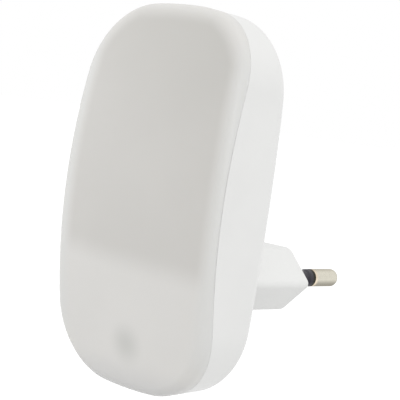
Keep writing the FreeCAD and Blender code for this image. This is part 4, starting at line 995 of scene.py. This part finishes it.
class NIGHTLIGHT_OT_stage(bpy.types.Operator):
    """Set up the floor, the light all round, three soft lamps and the camera"""

    bl_idname = "nightlight.stage"
    bl_label = "Stage"
    bl_options = {"REGISTER", "UNDO"}

    # name, direction from the aim, size in metres, and share of the lamps' power
    LAMPS = [
        ("right", (0.85, -0.45, 0.15), 0.5, 0.9),
        ("left", (-0.85, -0.45, 0.15), 0.5, 0.85),
        ("back", (0.25, 0.55, 0.80), 0.35, 0.25),
    ]
    LAMP_DISTANCE = 0.8
    FLOOR_REACH = 6.0
    FLOOR_TONE = 0.68
    FLOOR_LIFT = 0.5  # glow that makes the floor plain white to the camera

    def sky(self, scene, strength):
        """An even light of a strength from all round, plain white to the camera."""
        scene.world = bpy.data.worlds.new("even light")
        scene.world.use_nodes = True
        net = Tree(scene.world.node_tree)
        background = net.tree.nodes["Background"].inputs
        net.join((1, 1, 1, 1), background["Color"])
        level = net.add("MapRange", net.seen(), None, None, strength, 1.0)
        net.join(level, background["Strength"])

    def floor(self, height):
        """A level square, far wider than the picture."""
        corners = np.array([(-1, -1, 0), (1, -1, 0), (1, 1, 0), (-1, 1, 0)]) * self.FLOOR_REACH
        mesh = bpy.data.meshes.new("floor")
        mesh.from_pydata((corners + (0, 0, height)).tolist(), [], [(0, 1, 2, 3)])
        net = Net("pale floor")
        glow = net.math("MULTIPLY", net.seen(), self.FLOOR_LIFT)
        mesh.materials.append(net.set(
            Base_Color=rgba((self.FLOOR_TONE,) * 3), Roughness=0.9, Specular_IOR_Level=0.0,
            Emission_Color=(1, 1, 1, 1), Emission_Strength=glow))
        add_object("floor", mesh)

    def lamps(self, scene, aim, strength):
        """Round soft lamps that face the aim."""
        for name, toward, size, share in self.LAMPS:
            lamp = bpy.data.objects.new(name, bpy.data.lights.new(name, "AREA"))
            lamp.data.shape = "DISK"
            lamp.data.size = size
            lamp.data.energy = strength * share
            toward = Vector(toward).normalized()
            lamp.location = aim + toward * self.LAMP_DISTANCE
            lamp.rotation_euler = toward.to_track_quat("Z", "Y").to_euler()
            scene.collection.objects.link(lamp)

    def camera(self, scene, aim, stage):
        """A camera that looks back along the direction of its azimuth and elevation."""
        camera = bpy.data.objects.new("camera", bpy.data.cameras.new("camera"))
        camera.data.sensor_width = 36
        camera.data.lens = stage.camera_lens
        camera.data.clip_start = 0.01
        camera.data.clip_end = 20
        a, e, r = stage.camera_azimuth, stage.camera_elevation, stage.camera_roll
        back = Vector((math.sin(a) * math.cos(e), -math.cos(a) * math.cos(e), math.sin(e)))
        level = Vector((math.cos(a), math.sin(a), 0))
        up = back.cross(level)
        right = level * math.cos(r) + up * math.sin(r)
        above = up * math.cos(r) - level * math.sin(r)
        turn = Matrix((right, above, back)).transposed().to_4x4()
        camera.matrix_world = Matrix.Translation(aim + back * stage.camera_distance) @ turn
        scene.collection.objects.link(camera)
        scene.camera = camera

    def execute(self, context):
        scene = context.scene
        stage = scene.night_light_stage
        aim = Vector(stage.camera_aim)
        self.sky(scene, stage.sky_strength)
        self.floor(cad_box[0].z - stage.floor_drop)
        self.lamps(scene, aim, stage.lamp_strength)
        self.camera(scene, aim, stage)
        scene.view_settings.view_transform = "Standard"
        return {"FINISHED"}


class NIGHTLIGHT_PT_sidebar(bpy.types.Panel):
    """The night light's pieces and settings"""

    bl_idname = "NIGHTLIGHT_PT_sidebar"
    bl_label = "Night Light"
    bl_space_type = "VIEW_3D"
    bl_region_type = "UI"
    bl_category = "Night Light"

    def draw(self, context):
        for operator in OPERATORS:
            self.layout.operator(operator.bl_idname)
        for group in GROUPS:
            settings = getattr(context.scene, group)
            self.layout.label(text=settings.bl_rna.description)
            for key in GROUPS[group].__annotations__:
                self.layout.prop(settings, key)


OPERATORS = [NIGHTLIGHT_OT_stage, NIGHTLIGHT_OT_cover, NIGHTLIGHT_OT_casing,
             NIGHTLIGHT_OT_plug, NIGHTLIGHT_OT_inside, NIGHTLIGHT_OT_circuit]
GROUPS = {"night_light_shape": NightLightShape, "night_light_finish": NightLightFinish,
          "night_light_stage": NightLightStage}


def register():
    for item in [*GROUPS.values(), *OPERATORS, NIGHTLIGHT_PT_sidebar]:
        bpy.utils.register_class(item)
    for name, group in GROUPS.items():
        setattr(bpy.types.Scene, name, PointerProperty(type=group))


def unregister():
    for name in GROUPS:
        delattr(bpy.types.Scene, name)
    for item in [NIGHTLIGHT_PT_sidebar, *OPERATORS[::-1], *list(GROUPS.values())[::-1]]:
        bpy.utils.unregister_class(item)


def main():
    """Registers the add-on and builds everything."""
    register()
    for operator in OPERATORS:
        group, name = operator.bl_idname.split(".")
        getattr(getattr(bpy.ops, group), name)()


if __name__ == "__main__":
    main()
